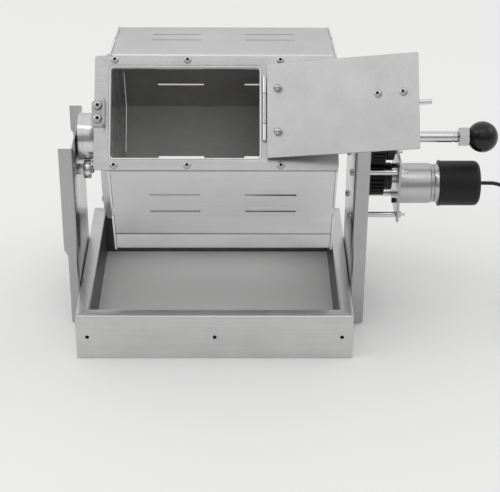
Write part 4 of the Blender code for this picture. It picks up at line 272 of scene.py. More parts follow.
def finished(form, name, outward=False):
    """The mesh of a form under work."""
    if outward:
        bmesh.ops.recalc_face_normals(form, faces=form.faces)
    mesh = bpy.data.meshes.new(name)
    form.to_mesh(mesh)
    form.free()
    return mesh


def skinned(loops, name, close=False, dark=0):
    """A skin over loops of points, of which a loop of one point is a tip.

    The first `dark` bands are a socket's walls.
    """
    form = bmesh.new()
    rows = [[form.verts.new(point) for point in loop] for loop in loops]
    pairs = list(zip(rows, rows[1:]))
    if close:
        pairs.append((rows[-1], rows[0]))
    steps = max(len(row) for row in rows)
    for index, (upper, lower) in enumerate(pairs):
        for step in range(steps):
            after = (step + 1) % steps
            corners = [upper[step % len(upper)], upper[after % len(upper)], lower[after % len(lower)],
                       lower[step % len(lower)]]
            unique = list(dict.fromkeys(corners))
            if len(unique) > 2:
                form.faces.new(unique).material_index = int(index < dark)
    if not close and len(rows[0]) > 1:
        form.faces.new(rows[0]).material_index = int(dark > 0)
    if not close and len(rows[-1]) > 1:
        form.faces.new(list(reversed(rows[-1])))
    return finished(form, name, outward=True)


def arc(centre, radius, start, end, steps=8):
    angles = [start + (end - start) * step / steps for step in range(steps + 1)]
    return [(centre[0] + radius * math.cos(angle), centre[1] + radius * math.sin(angle)) for angle in angles]


def circle(radius, height, steps=PIN_STEPS, turn=0.0):
    angles = [turn + math.tau * step / steps for step in range(steps)]
    return [(radius * math.cos(angle), radius * math.sin(angle), height) for angle in angles]


def lathe(profile, steps=ROUND_STEPS, ring=False):
    """A (radius, height) profile turned about Z. It starts and ends on the axis, apart from a ring's."""
    return skinned([circle(radius, height, steps) if radius > TIP_RADIUS else [(0, 0, height)]
                    for radius, height in profile], "lathe", close=ring)


def gathered(pieces):
    """One mesh of several (mesh, frame) pieces."""
    form = bmesh.new()
    for mesh, place in pieces:
        copy = mesh.copy()
        copy.transform(place)
        form.from_mesh(copy)
        bpy.data.meshes.remove(copy)
    return finished(form, "group")


# Pieces

def piece(name, mesh, place, material, node=None, body=None, slot=None, bevel=0.0, segments=2,
          sharp=SMOOTH_ANGLE):
    """A visible piece in place of a CAD node, or with a body of its own. Its slot argument is not used.

    Its mesh is carried to its place. The object itself stays at the origin.
    """
    mesh = mesh.copy()
    mesh.transform(place)
    if place.determinant() < 0:
        mesh.flip_normals()
    mesh.name = name
    mesh.materials.append(material)
    if any(polygon.material_index == 1 for polygon in mesh.polygons):
        mesh.materials.append(SOCKET)
    mesh.shade_smooth()
    mesh.set_sharp_from_angle(angle=math.radians(sharp))
    thing = linked(name, mesh)
    if bevel:
        rounding = thing.modifiers.new("edges", "BEVEL")
        rounding.width = bevel
        rounding.segments = segments
        rounding.limit_method = "ANGLE"
        rounding.angle_limit = BEVEL_ANGLE
        rounding.harden_normals = True
        rounding.use_clamp_overlap = True
    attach(thing, body or body_of(node))
    if node:
        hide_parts(node)
    return thing


def body_of(node):
    for body, names in frame["record"]["behaviour"]["bodies"].items():
        if node in names:
            return body
    raise KeyError(node)


def refined(node, material, bevel, segments=2, without=(), folds=None, fold_width=0.0):
    """A CAD node's own solid with its edges broken, in place of the node.

    Each (frame, radius, low, high) of `without` names a fused screw head that is left out for a finer one.
    The edges whose ends `folds` picks are bent round by the fold's width.
    """
    form = bmesh.new()
    form.from_mesh(NODES[node].data)
    bmesh.ops.remove_doubles(form, verts=form.verts, dist=MERGE_DISTANCE)
    bmesh.ops.dissolve_limit(form, angle_limit=FLAT_ANGLE, verts=form.verts, edges=form.edges)
    for place, radius, low, high in without:
        back = place.inverted()
        local = {vert: back @ vert.co for vert in form.verts}
        inside = {vert for vert, point in local.items()
                  if math.hypot(point.x, point.y) < radius and low < point.z < high}
        dropped = [face for face in form.faces if all(vert in inside for vert in face.verts)]
        bmesh.ops.delete(form, geom=dropped, context="FACES")
    if folds:
        bent = [edge for edge in form.edges if all(folds(vert.co) for vert in edge.verts)]
        bmesh.ops.bevel(form, geom=bent, offset=fold_width, segments=FOLD_SEGMENTS, profile=0.5,
                        affect="EDGES", clamp_overlap=True)
    return piece(f"{node}_skin", finished(form, node, outward=True), Matrix.Identity(4), material, node,
                 bevel=bevel, segments=segments)


def repainted(thing, material, picks):
    """The faces that the test picks by centre and normal take another material."""
    thing.data.materials.append(material)
    index = len(thing.data.materials) - 1
    for polygon in thing.data.polygons:
        if picks(polygon.center, polygon.normal):
            polygon.material_index = index


def grouped(name, pieces, material, node=None, **options):
    """One visible piece of several (mesh, frame) pieces."""
    return piece(name, gathered(pieces), Matrix.Identity(4), material, node, **options)


def fastener_set(name, mesh, places, body):
    return grouped(name, [(mesh, place) for place in places], BRIGHT, body=body, slot="fastener_steel")


# Materials

def new_material(name, metallic, specular=0.5):
    material = bpy.data.materials.new(name)
    material.use_nodes = True
    shader = material.node_tree.nodes["Principled BSDF"]
    shader.inputs["Metallic"].default_value = metallic
    shader.inputs["Specular IOR Level"].default_value = specular
    return material, material.node_tree, shader


def noise(tree, scale, detail, roughness, stretch=(1, 1, 1)):
    coordinates = tree.nodes.new("ShaderNodeTexCoord")
    mapping = add_node(tree, "ShaderNodeMapping", Scale=stretch)
    texture = add_node(tree, "ShaderNodeTexNoise", Scale=scale, Detail=detail, Roughness=roughness)
    tree.links.new(coordinates.outputs["Object"], mapping.inputs["Vector"])
    tree.links.new(mapping.outputs["Vector"], texture.inputs["Vector"])
    return texture.outputs["Fac"]


def shaded(tree, colour, value):
    """The colour times a value that varies over the surface."""
    node = tree.nodes.new("ShaderNodeVectorMath")
    node.operation = "SCALE"
    node.inputs[0].default_value = colour
    tree.links.new(value, node.inputs["Scale"])
    return node.outputs["Vector"]


def embossed(tree, shader, height, strength, distance):
    relief = add_node(tree, "ShaderNodeBump", Strength=strength, Distance=distance)
    tree.links.new(height, relief.inputs["Height"])
    tree.links.new(relief.outputs["Normal"], shader.inputs["Normal"])


def metal(name, colour, roughness, metallic, streak, grain, worn, bump=0.03, rough_spread=0.07,
          line_gloss=0.03):
    """Sheet or bar with fine lines along one way, faint clouds of handling and a little unevenness."""
    material, tree, shader = new_material(name, metallic)
    lines = noise(tree, 1.0, 4.0, 0.65, streak)
    clouds = noise(tree, METAL_BLOTCH, 4.0, 0.6)
    tone = combined(tree, spread(tree, lines, 1 - grain, 1 + grain), spread(tree, clouds, 1 - worn, 1 + worn))
    tree.links.new(shaded(tree, colour, tone), shader.inputs["Base Color"])
    gloss = combined(tree, spread(tree, clouds, roughness - rough_spread, roughness + rough_spread),
                     spread(tree, lines, -line_gloss, line_gloss), "ADD")
    tree.links.new(gloss, shader.inputs["Roughness"])
    embossed(tree, shader, lines, bump, METAL_RELIEF)
    return material


def plastic(name, colour, roughness, grain_scale, bump, coat=0.0, cloud=0.1):
    """Moulded plastic with a fine grain and faint handling marks."""
    material, tree, shader = new_material(name, 0.0, 0.3)
    grain = noise(tree, grain_scale, 2.0, 0.5)
    clouds = noise(tree, PLASTIC_BLOTCH, 3.0, 0.6)
    tone = spread(tree, clouds, 1 - cloud, 1 + cloud)
    tree.links.new(shaded(tree, colour, tone), shader.inputs["Base Color"])
    tree.links.new(spread(tree, clouds, roughness - 0.05, roughness + 0.05), shader.inputs["Roughness"])
    shader.inputs["Coat Weight"].default_value = coat
    shader.inputs["Coat Roughness"].default_value = 0.05
    embossed(tree, shader, grain, bump, PLASTIC_RELIEF)
    return material


# Each metal's colour, roughness, metallic share, lines' way, grain, wear and bump
BASE = metal("base_brushed", (0.62, 0.62, 0.62), 0.36, 0.92, ALONG_X, 0.05, 0.07)
UPRIGHT = metal("upright_mill", (0.42, 0.42, 0.43), 0.22, 0.96, ALONG_Z, 0.04, 0.05)
DRUM = metal("drum_brushed", (0.64, 0.64, 0.645), 0.4, 0.9, ALONG_X, 0.05, 0.05)
PANEL = metal("panel_brushed", (0.525, 0.525, 0.53), 0.26, 0.96, ALONG_X, 0.05, 0.05, 0.012, **SMOOTHED)
DOOR = metal("door_brushed", (0.62, 0.62, 0.625), 0.36, 0.9, ACROSS_DOOR, 0.05, 0.05)
PLATE = metal("end_plate_mill", (0.56, 0.56, 0.565), 0.34, 0.94, (900, 900, 9), 0.04, 0.06)
TURNED = metal("turned_polished", (0.66, 0.66, 0.67), 0.16, 1.0, (1500, 5, 5), 0.015, 0.03, 0.004, **POLISHED)
BRIGHT = metal("bright_plated", (0.52, 0.52, 0.53), 0.24, 1.0, (300, 300, 300), 0.02, 0.04, 0.003, **PLATED)
GEARBOX_CASE = metal("gearbox_plated", (0.53, 0.53, 0.54), 0.3, 1.0, (260, 6, 6), 0.015, 0.03, 0.002,
                     **POLISHED)
BRONZE = metal("bearing_bronze_fine", (0.45, 0.31, 0.15), 0.36, 1.0, (900, 8, 8), 0.08, 0.08)
BLACKED = metal("blackened_steel", (0.035, 0.035, 0.037), 0.38, 0.7, (500, 500, 500), 0.1, 0.1)
# Darker, duller copy of the drum's steel for its inside: painted shade, with stronger clouds of wear
INSIDE_PAINTED_SHADE = metal("drum_inside_painted_shade", (0.53, 0.525, 0.52), 0.42, 0.6, ALONG_X, 0.06, 0.14)
# Lighter copy of the end plates' steel with strong upright streaks: painted reflections
PLATE_INSIDE_PAINTED_SHEEN = metal("end_plate_inside_painted_sheen", (0.76, 0.76, 0.765), 0.28, 0.85, (200, 200, 4), 0.2, 0.08, 0.01,
                     **WORN_SMOOTH)
# Darker copy of the rails' steel for their inner walls: painted shade
RAIL_PAINTED_SHADE = metal("rail_inside_painted_shade", (0.13, 0.13, 0.132), 0.42, 0.7, ALONG_X, 0.06, 0.12)
# Dark colour put on edges, steps and seams: painted shadow lines of the gaps there
EDGE_PAINTED_SHADE = metal("edge_painted_shade", (0.16, 0.16, 0.162), 0.5, 0.7, (700, 700, 700), 0.1, 0.1)
# Pale, dull colour for the rim of the panel's opening: painted highlight on its fold
FLANGE_PAINTED_HIGHLIGHT = metal("flange_painted_highlight", (0.92, 0.92, 0.92), 0.5, 0.1, ALONG_X, 0.03, 0.04)
# Lighter copy of the drum's steel for the lap and the end plates' rims: painted light
LAP_PAINTED_LIGHT = metal("lap_painted_light", (0.82, 0.82, 0.825), 0.5, 0.55, ALONG_X, 0.05, 0.05)
CATCH = metal("catch_brushed", (0.4, 0.4, 0.405), 0.34, 0.92, (900, 8, 8), 0.05, 0.06)
SOCKET = metal("socket_shadow", (0.03, 0.03, 0.03), 0.6, 0.3, (300, 300, 300), 0.1, 0.1)
DOOR_INSIDE = metal("door_inside", (0.575, 0.575, 0.575), 0.38, 0.9, ACROSS_DOOR, 0.05, 0.08)
# Each plastic's colour, roughness, grain, bump, coat and clouds
GEAR = plastic("gear_black", (0.02, 0.02, 0.021), 0.42, 700, 0.06)
COVER = plastic("cover_black", (0.01, 0.01, 0.011), 0.5, 1100, 0.12)
KNOB = plastic("knob_gloss_black", (0.006, 0.006, 0.007), 0.24, 60, 0.004, 0.25, 0.05)
LEAD = plastic("lead_black", (0.022, 0.022, 0.023), 0.46, 1500, 0.06)

set_camera()
set_world()
set_stage()
for lamp in LAMPS:
    add_lamp(*lamp)
bpy.context.scene.view_settings.view_transform = "Standard"


# Fasteners: each one's seat is at z = 0 of its own frame

HEX_COS = math.cos(math.pi / 6)
DOME_STEPS = 7
# Heads: radius and height, the shank's length and radius, and how deep the knurls are
UPRIGHT_BOLT = (0.0046, 0.0027)
CAP_SCREW = (0.0029, 0.0019)
PANEL_SCREW = (0.0038, 0.0023)
HOUSING_SCREW = (0.0026, 0.0019)
CATCH_SCREW = (0.0043, 0.0026, 0.0044, 0.0015)
LATCH_SCREW = (0.0037, 0.0022, 0.005, 0.0015)
FLANGE_SCREW = (0.0026, 0.002, 0.0063, 0.0015)
STANDOFF_SCREW = (0.00375, 0.0022, 0.002, 0.0015)
ROLLER_SCREW = (0.0042, 0.0026, 0.005, 0.0025)
HINGE_SCREW = (0.0034, 0.0038, 0.004, 0.0015, 0.03)
GEARBOX_SCREW = (0.00275, 0.003, 0.0062, 0.0015, 0.03)
# Nuts: radius to the corner, height, bore radius and how far the thread stands out
LATCH_NUT = (0.0034, 0.0024, 0.0015, 0.0014)
STANDOFF_NUT = (0.0055 / 2 / HEX_COS, 0.003, 0.0015, 0.004)
ROLLER_SPACER = (0.0062, 0.006, 0.0025, 0.0085)
ROLLER_NUT = (0.0062, 0.004, 0.0025, 0.001)
# Fused heads that finer ones replace: radius, and from where to where along the screw
BOLT_CUT = (0.0047, -0.00001, 0.003)
PANEL_SCREW_CUT = (0.0039, -0.00001, 0.0025)
RIVET_CUT = (0.0022, -0.00001, 0.0008)


def hexagon_loop(radius, height, steps=PIN_STEPS):
    """A hexagon of that corner radius, with the same points as a circle of as many steps."""
    points = []
    for step in range(steps):
        angle = math.tau * step / steps
        off = (angle % (math.pi / 3)) - math.pi / 6
        reach = radius * HEX_COS / math.cos(off)
        points.append((reach * math.cos(angle), reach * math.sin(angle), height))
    return points


def cut_back(radius, height, reach_kept, steps=PIN_STEPS):
    """A hexagon's loop whose corners are cut back by a turned chamfer."""
    points = []
    for x, y, _ in hexagon_loop(radius, height, steps):
        reach = math.hypot(x, y)
        keep = min(reach, reach_kept(reach))
        points.append((x * keep / reach, y * keep / reach, height))
    return points


def with_shank(loops, shank, radius):
    return loops + [circle(radius, 0), circle(radius, -shank)] if shank else loops


def socket_loops(key, height, depth, step_down, chamfer):
    """A hexagon socket, from its floor to its broken edge."""
    return [hexagon_loop(key * 0.96, height - depth), hexagon_loop(key, height - depth * 0.96),
            hexagon_loop(key, height - step_down), hexagon_loop(key * chamfer, height)]


def button_head(radius, height, shank=0.0, shank_radius=0.0):
    flat = radius * 0.56
    loops = [*socket_loops(radius * 0.42, height, height * 0.62, radius * 0.03, 1.06), circle(flat, height)]
    for step in range(1, DOME_STEPS + 1):
        angle = math.pi / 2 * step / DOME_STEPS
        loops.append(circle(flat + (radius - flat) * math.sin(angle),
                            height * (0.18 + 0.82 * math.cos(angle))))
    loops += [circle(radius, height * 0.05), circle(radius * 0.97, 0)]
    return skinned(with_shank(loops, shank, shank_radius), "skin", dark=2)


def cap_head(radius, height, shank=0.0, shank_radius=0.0, knurl=0.0):
    edge = radius * 0.1
    side = [(x * (1 - knurl * (step % 2)), y * (1 - knurl * (step % 2)))
            for step, (x, y, _) in enumerate(circle(radius, 0))]
    loops = [*socket_loops(radius * 0.5, height, height * 0.6, edge * 0.4, 1.08),
             circle(radius - edge, height), [(x, y, height - edge) for x, y in side],
             [(x, y, edge * 0.3) for x, y in side], circle(radius * 0.96, 0)]
    return skinned(with_shank(loops, shank, shank_radius), "skin", dark=2)


def hex_nut(corner, height, bore, thread_end=0.0):
    """A hexagon nut with broken corners and the end of its screw."""
    flats = corner * HEX_COS
    chamfer = corner - flats

    def cut_corner(level):
        return cut_back(corner, level, lambda reach: flats + (reach - flats) * 0.55)

    return skinned([
        circle(bore * 0.8, height + thread_end), circle(bore, height + thread_end - bore * 0.2),
        circle(bore, height + 0.00002), circle(bore * 1.12, height), circle(flats * 0.95, height),
        cut_corner(height - chamfer * 0.12), hexagon_loop(corner, height - chamfer * 0.75),
        hexagon_loop(corner, chamfer * 0.75), cut_corner(chamfer * 0.12), circle(flats * 0.95, 0)], "skin")


# Stand: rails and uprights

BASE_MIDDLE = STAND @ Vector((0, 0.1175, 0))
UPRIGHT_FRONT, UPRIGHT_WIDTH, RAIL_HEIGHT = 0.0631, 0.1069, 0.05


def faces_middle(centre, normal):
    """The wall of a rail that looks into the base."""
    inward = Vector((BASE_MIDDLE.x - centre.x, BASE_MIDDLE.y - centre.y, 0))
    return abs(normal.z) < 0.5 and inward.dot(normal) > 0


# The rails' walls that look into the base take painted shade
for node in ("front_rail", "rear_rail", "left_rail", "right_rail"):
    repainted(refined(node, BASE, RAIL_EDGE), RAIL_PAINTED_SHADE, faces_middle)
bolt_rows = [(UPRIGHT_FRONT + row * UPRIGHT_WIDTH, RAIL_HEIGHT * level) for row in (0.2, 0.8)
             for level in (0.28, 0.72)]
bolt_seats = {"left_upright": [against_x(-WEB_OUTER, y, z) for y, z in bolt_rows],
              "right_upright": [along_x(WEB_OUTER, y, z) for y, z in bolt_rows]}
for node, seats in bolt_seats.items():
    refined(node, UPRIGHT, SHEET_EDGE, without=[(seat, *BOLT_CUT) for seat in seats])
    fastener_set(f"{node}_bolt_heads", button_head(*UPRIGHT_BOLT), seats, "stand")


# Lead: its free stretch and its coil are one cord, as the model lays them

CORD_ROUTE = [
    (0.2756, 0.1165, 0.141), (0.283, 0.1165, 0.141), (0.2915, 0.1165, 0.1405), (0.302, 0.1164, 0.1365),
    (0.3105, 0.1162, 0.128), (0.3155, 0.116, 0.116), (0.318, 0.1158, 0.1), (0.319, 0.1158, 0.082),
    (0.3192, 0.1159, 0.062), (0.3192, 0.116, 0.042), (0.3192, 0.1155, 0.025), (0.3192, 0.112, 0.012),
    (0.3192, 0.105, 0.005), (0.3192, 0.096, 0.0029), (0.3192, 0.09, 0.0029), (0.3192, 0.0843, 0.0029)]
CORD_SPACING = 0.0045
CURVE_SAMPLES = 24
COIL_CENTRE = (0.3492, 0.08)
COIL_INNER_RADIUS, COIL_PITCH = 0.0165, 0.0045
COIL_LAYER_RISE, COIL_HEIGHT = 0.0046, 0.0029
COIL_TURNS, COIL_LOOP_POINTS = 3, 48
COIL_TAIL, COIL_TAIL_STEPS = 0.026, 14

# Low-voltage plug: grips that widen towards the body, rings round the body, and the barrel
PLUG_RADIUS = 0.005
PLUG_GAP = 0.0003
GRIPS, GRIP_START, GRIP_PITCH, GRIP_GROWTH = 6, 0.0012, 0.0018, 0.00026
GRIP_OUTER, GRIP_INNER, GRIP_WIDTH = 0.0032, 0.0028, 0.0009
RINGS, RING_START, RING_PITCH, RING_INNER = 5, 0.0182, 0.0022, 0.00472
PLUG_BARREL = [(0, 0.0319), (0.00275, 0.0319), (0.00275, 0.0412), (0.00262, 0.0414), (0.0016, 0.0414),
               (0.0014, 0.041), (0.0014, 0.037), (0, 0.037)]


def smooth_route(route, spacing):
    """Evenly spaced points on the smooth curve through a route's own points."""
    points = [Vector(point) for point in route]
    points = [points[0] * 2 - points[1], *points, points[-1] * 2 - points[-2]]
    fine = [points[1]]
    for before, start, end, after in zip(points, points[1:], points[2:], points[3:]):
        for step in range(1, CURVE_SAMPLES + 1):
            share = step / CURVE_SAMPLES
            fine.append((start * 2 + (end - before) * share
                         + (before * 2 - start * 5 + end * 4 - after) * share ** 2
                         + (start * 3 - before - end * 3 + after) * share ** 3) / 2)
    length = path_length(fine)
    count = round(length / spacing)
    even, walked, target = [fine[0]], 0.0, length / count
    for here, ahead in zip(fine, fine[1:]):
        stretch = (ahead - here).length
        while len(even) < count and walked + stretch >= target * len(even):
            even.append(here.lerp(ahead, (target * len(even) - walked) / stretch))
        walked += stretch
    return [*even, fine[-1]]


def path_length(points):
    return sum((ahead - here).length for here, ahead in zip(points, points[1:]))


def smooth_step(share):
    share = min(max(share, 0.0), 1.0)
    return share * share * (3 - share * 2)


def coil_points():
    """Loops that spiral in, climb a layer in the half turn where they turn back, and spiral out again."""
    left = COIL_CENTRE[0] - COIL_INNER_RADIUS - COIL_PITCH * COIL_TURNS
    middle = COIL_CENTRE[1]
    points = []
    for step in range(COIL_TURNS * 2 * COIL_LOOP_POINTS + 1):
        turn = step / COIL_LOOP_POINTS
        radius = COIL_INNER_RADIUS + COIL_PITCH * abs(turn - COIL_TURNS)
        angle = math.pi + math.tau * turn
        climb = smooth_step((turn - COIL_TURNS) * 2 + 0.5)
        points.append(Vector((COIL_CENTRE[0] + radius * math.cos(angle), middle + radius * math.sin(angle),
                              COIL_HEIGHT + COIL_LAYER_RISE * climb)))
    top = COIL_HEIGHT + COIL_LAYER_RISE
    for step in range(1, COIL_TAIL_STEPS + 1):
        share = step / COIL_TAIL_STEPS
        height = top + (PLUG_RADIUS - top) * smooth_step(share * 2 - 1)
        points.append(Vector((left, middle - COIL_TAIL * share, height)))
    points.append(Vector((left, middle - COIL_TAIL - CORD_RADIUS * 2, PLUG_RADIUS)))
    return points


def plug_profile():
    """The plug's handle, from the lead's end on."""
    profile = [(0, 0), (0.0031, 0)]
    for grip in range(GRIPS):
        start, growth = GRIP_START + grip * GRIP_PITCH, grip * GRIP_GROWTH
        profile += [(GRIP_OUTER + growth, start), (GRIP_OUTER + growth, start + GRIP_WIDTH),
                    (GRIP_INNER + growth, start + 0.001), (GRIP_INNER + growth, start + 0.0017)]
    profile += [(0.00485, 0.0125), (PLUG_RADIUS, 0.013), (PLUG_RADIUS, 0.018)]
    for ring in range(RINGS):
        start = RING_START + ring * RING_PITCH
        profile += [(PLUG_RADIUS, start), (RING_INNER, start + 0.0003), (RING_INNER, start + 0.0009),
                    (PLUG_RADIUS, start + 0.0012)]
    return profile + [(PLUG_RADIUS, 0.0311), (0.0047, 0.0317), (0.004, 0.032), (0, 0.032)]


def make_lead():
    free = smooth_route(CORD_ROUTE, CORD_SPACING)
    points = [STAND @ point for point in [*free, *coil_points()]]
    curve = bpy.data.curves.new("dc_lead", "CURVE")
    curve.dimensions = "3D"
    curve.bevel_depth = CORD_RADIUS
    curve.bevel_resolution = 3
    curve.use_fill_caps = True
    spline = curve.splines.new("POLY")
    spline.points.add(len(points) - 1)
    for place, point in zip(spline.points, points):
        place.co = (*point, 1)
    spline.use_smooth = True
    curve.materials.append(LEAD)
    lead = linked("dc_lead", curve)
    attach(lead, "stand")
    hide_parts("power_cord", "cord_coil")
    tie = refined("cord_tie", LEAD, TIE_EDGE)
    seat = Matrix.Translation(points[-1] + Vector((0, -PLUG_GAP, 0))) @ Matrix.Rotation(math.pi / 2, 4, "X")
    plug = piece("plug_body", lathe(plug_profile()), seat, LEAD, "dc_plug")
    tip = piece("plug_barrel", lathe(PLUG_BARREL), seat, BRIGHT, body="stand", slot="lead_plastic")


make_lead()


# Drum: shell, end plates, end cap, hub ring and front panel

FACE = face_frame()
FACE_BACK, FACE_OUT = FACE.inverted(), FACE.col[2].to_3d()
LOWER_FACE = face_frame(-1)
LOWER_BACK, LOWER_OUT = LOWER_FACE.inverted(), LOWER_FACE.col[2].to_3d()
LAP_OUT, LAP_START = 0.1005, -0.0343
ON_SHEET = 0.0004
PANEL_LIP, PANEL_LIP_WIDTH = 0.0025, 0.0019
PANEL_EDGE = 0.054
CATCH_LOW = 0.1045

CAP_FACE = -0.1101
CAP_SCREW_CIRCLE = 0.0755
CAP_RIM = 0.0095 - 0.0003
HUB_START, HUB_END = -0.1122, -0.139
HUB = HUB_START - HUB_END


def faces_axis(centre, normal):
    spoke = Vector((0, centre.y - (STAND.translation.y + AXIS_Y), centre.z - AXIS_Z))
    return abs(normal.x) < 0.5 and spoke.dot(normal) < 0


def on_lap(centre):
    """The band along the lower front fold where the sheet's two ends lie on each other."""
    point = LOWER_BACK @ centre
    return point.z > LAP_OUT and point.y < LAP_START


def in_opening(centre, room=ON_SHEET):
    point = FACE_BACK @ centre
    return OPENING_LEFT - room < point.x < OPENING_RIGHT + room and abs(point.y) < OPENING_HALF + room


def on_mouth(point):
    """The opening's outline on the panel's outer side, where the sheet bends in."""
    return in_opening(point) and abs((FACE_BACK @ point).z - PANEL_OUTER) < 0.0001


def on_ring(screws, radius):
    """The places (y, z) of screws on a circle round the drum's axis."""
    turns = [math.tau * index / screws for index in range(screws)]
    return [(AXIS_Y + radius * math.sin(turn), AXIS_Z + radius * math.cos(turn)) for turn in turns]


shell = refined("drum_shell", DRUM, FINE_EDGE)
# The shell's faces that look towards the axis take painted shade
repainted(shell, INSIDE_PAINTED_SHADE, faces_axis)
# The lap where the sheet's ends lie on each other is painted lighter: painted light
repainted(shell, LAP_PAINTED_LIGHT, lambda centre, normal: normal.dot(LOWER_OUT) > 0.5 and on_lap(centre))
# The lap's step faces take a painted shadow line
repainted(shell, EDGE_PAINTED_SHADE, lambda centre, normal: abs(normal.dot(LOWER_OUT)) < 0.5 and on_lap(centre))
for node, inward in (("left_end_plate", 1), ("right_end_plate", -1)):
    plate = refined(node, PLATE, PLATE_EDGE)
    # The plate's face towards the drum's middle takes the painted reflections
    repainted(plate, PLATE_INSIDE_PAINTED_SHEEN, lambda centre, normal: normal.x * inward > 0.9)
    # The plate's rim takes a painted highlight
    repainted(plate, LAP_PAINTED_LIGHT, lambda centre, normal: abs(normal.x) < 0.3)

cap_fold = arc((0.0815, -0.0025), 0.0025, math.pi / 2, 0)
cap_profile = [(0, 0.0018), (0.0655, 0.0018), (0.0667, 0.00165), (0.0676, 0.0011), (0.0684, 0.0004),
               (0.0694, 0), (0.07, 0), *cap_fold, (0.084, -CAP_RIM), (0.0828, -CAP_RIM),
               (0.0828, -0.0025), (0.0822, -0.0014), (0.0812, -0.0012), (0.0685, -0.0012), (0.0665, 0.0006),
               (0, 0.0006)]
piece("end_cap_pan", lathe(cap_profile, LARGE_STEPS), against_x(CAP_FACE), PLATE, "left_end_cap")
fastener_set("end_cap_screws", button_head(*CAP_SCREW),
             [against_x(CAP_FACE, y, z) for y, z in on_ring(6, CAP_SCREW_CIRCLE)], "drum")

hub_profile = [(0.019, HUB - 0.0006), (0.0196, HUB), (0.0229, HUB), (0.0235, HUB - 0.00025),
               (0.024, HUB - 0.0009), (0.024, HUB - 0.0052), (0.02385, HUB - 0.00535),
               (0.02385, HUB - 0.00575), (0.024, HUB - 0.0059), (0.024, 0.0006), (0.0236, 0),
               (0.0196, 0), (0.019, 0.0006)]
piece("hub_ring_turned", lathe(hub_profile, LARGE_STEPS, True), against_x(HUB_START), TURNED, "hub_ring")

panel_seats = [FACE @ move(x, v, PANEL_OUTER) for v in (0.0516, -0.0516) for x in (-0.0949, -0.0252, 0.064)]
panel = refined("front_panel", PANEL, SHEET_EDGE, folds=on_mouth, fold_width=PANEL_LIP_WIDTH,
                without=[(seat, *PANEL_SCREW_CUT) for seat in panel_seats])
# The panel's back faces take painted shade
repainted(panel, INSIDE_PAINTED_SHADE, lambda centre, normal: normal.dot(FACE_OUT) < -0.9)
# The fold round the opening takes the painted highlight
repainted(panel, FLANGE_PAINTED_HIGHLIGHT, lambda centre, normal: -0.2 < normal.dot(FACE_OUT) < 0.96
          and in_opening(centre, PANEL_LIP))
# The outermost band of the opening's fold takes a painted shadow line
repainted(panel, EDGE_PAINTED_SHADE, lambda centre, normal: 0.96 < normal.dot(FACE_OUT) < 0.9995
          and in_opening(centre, PANEL_LIP))
# The panel's outer edge faces take a painted shadow line
repainted(panel, EDGE_PAINTED_SHADE, lambda centre, normal: abs(normal.dot(FACE_OUT)) < 0.3 and not in_opening(centre)
          and abs((FACE_BACK @ centre).y) > PANEL_EDGE)
fastener_set("panel_screw_heads", button_head(*PANEL_SCREW), panel_seats, "drum")

catch = refined("catch_plate", CATCH, PLATE_EDGE, 3)
# The catch plate's edge faces near the panel take a painted shadow line
repainted(catch, EDGE_PAINTED_SHADE, lambda centre, normal: abs(normal.dot(FACE_OUT)) < 0.3
          and (FACE_BACK @ centre).z < CATCH_LOW)
catch_head = button_head(*CATCH_SCREW)
for name, row in (("upper_catch_screw", 0.00635), ("lower_catch_screw", -0.00635)):
    piece(f"{name}_head", catch_head, FACE @ move(-0.1106, -0.0005 + row, 0.104), BRIGHT, name)


# Drum: the hinge

HINGE_MIDDLE = 0.00265
RIVET_ROW = 0.0205
pin_low, pin_high = HINGE_MIDDLE - 0.0149 - 0.016, HINGE_MIDDLE + 0.0149 + 0.016

leaf_seats = [FACE @ move(PIN_X + 0.0063, HINGE_MIDDLE + row, 0.1034)
              for row in (RIVET_ROW, -RIVET_ROW)]
refined("fixed_hinge_leaf", TURNED, FINE_EDGE, without=[(seat, *RIVET_CUT) for seat in leaf_seats])
rivet = lathe([(0, 0.0006), (0.0008, 0.00058), (0.0015, 0.00045), (0.0019, 0.00025), (0.0021, 0),
               (0, 0)], RIVET_STEPS)
fastener_set("hinge_leaf_rivets", rivet, leaf_seats, "drum")
pin_frame = FACE @ move(PIN_X, 0, PIN_OUT) @ Matrix.Rotation(-math.pi / 2, 4, "X")
pin_profile = [(0, pin_high + 0.0011), (0.0012, pin_high + 0.00105), (0.0017, pin_high + 0.0008),
               (0.0018, pin_high + 0.0005), (0.0018, pin_high + 0.0003), (0.0011, pin_high + 0.0003),
               (0.0011, pin_low - 0.0008), (0.0009, pin_low - 0.001), (0, pin_low - 0.001)]
piece("hinge_pin_turned", lathe(pin_profile, PIN_STEPS), pin_frame, TURNED, "hinge_pin")


# Door, its leaf and its latch

DOOR_FRAME = door_frame()
INNER_SIDE = DOOR_FRAME.col[2].to_3d()
HINGE_SCREW_X, HINGE_SCREW_ROW = 0.0135, 0.02125
LATCH_SCREW_ROW = 0.009
LATCH_ROW, LATCH_DEPTH = -0.0005, -0.0042
SCREW_SEAT = 0.0026
DOME_FOOT = 0.0026

door = refined("door_panel", DOOR, PLATE_EDGE, 3)
# The door's edge faces take painted shade
repainted(door, EDGE_PAINTED_SHADE, lambda centre, normal: abs(normal.dot(INNER_SIDE)) < 0.3)
repainted(door, DOOR_INSIDE, lambda centre, normal: normal.dot(INNER_SIDE) > 0.9)
refined("door_hinge_leaf", PANEL, FINE_EDGE)
refined("latch_bracket", DOOR, SHEET_EDGE, 3)

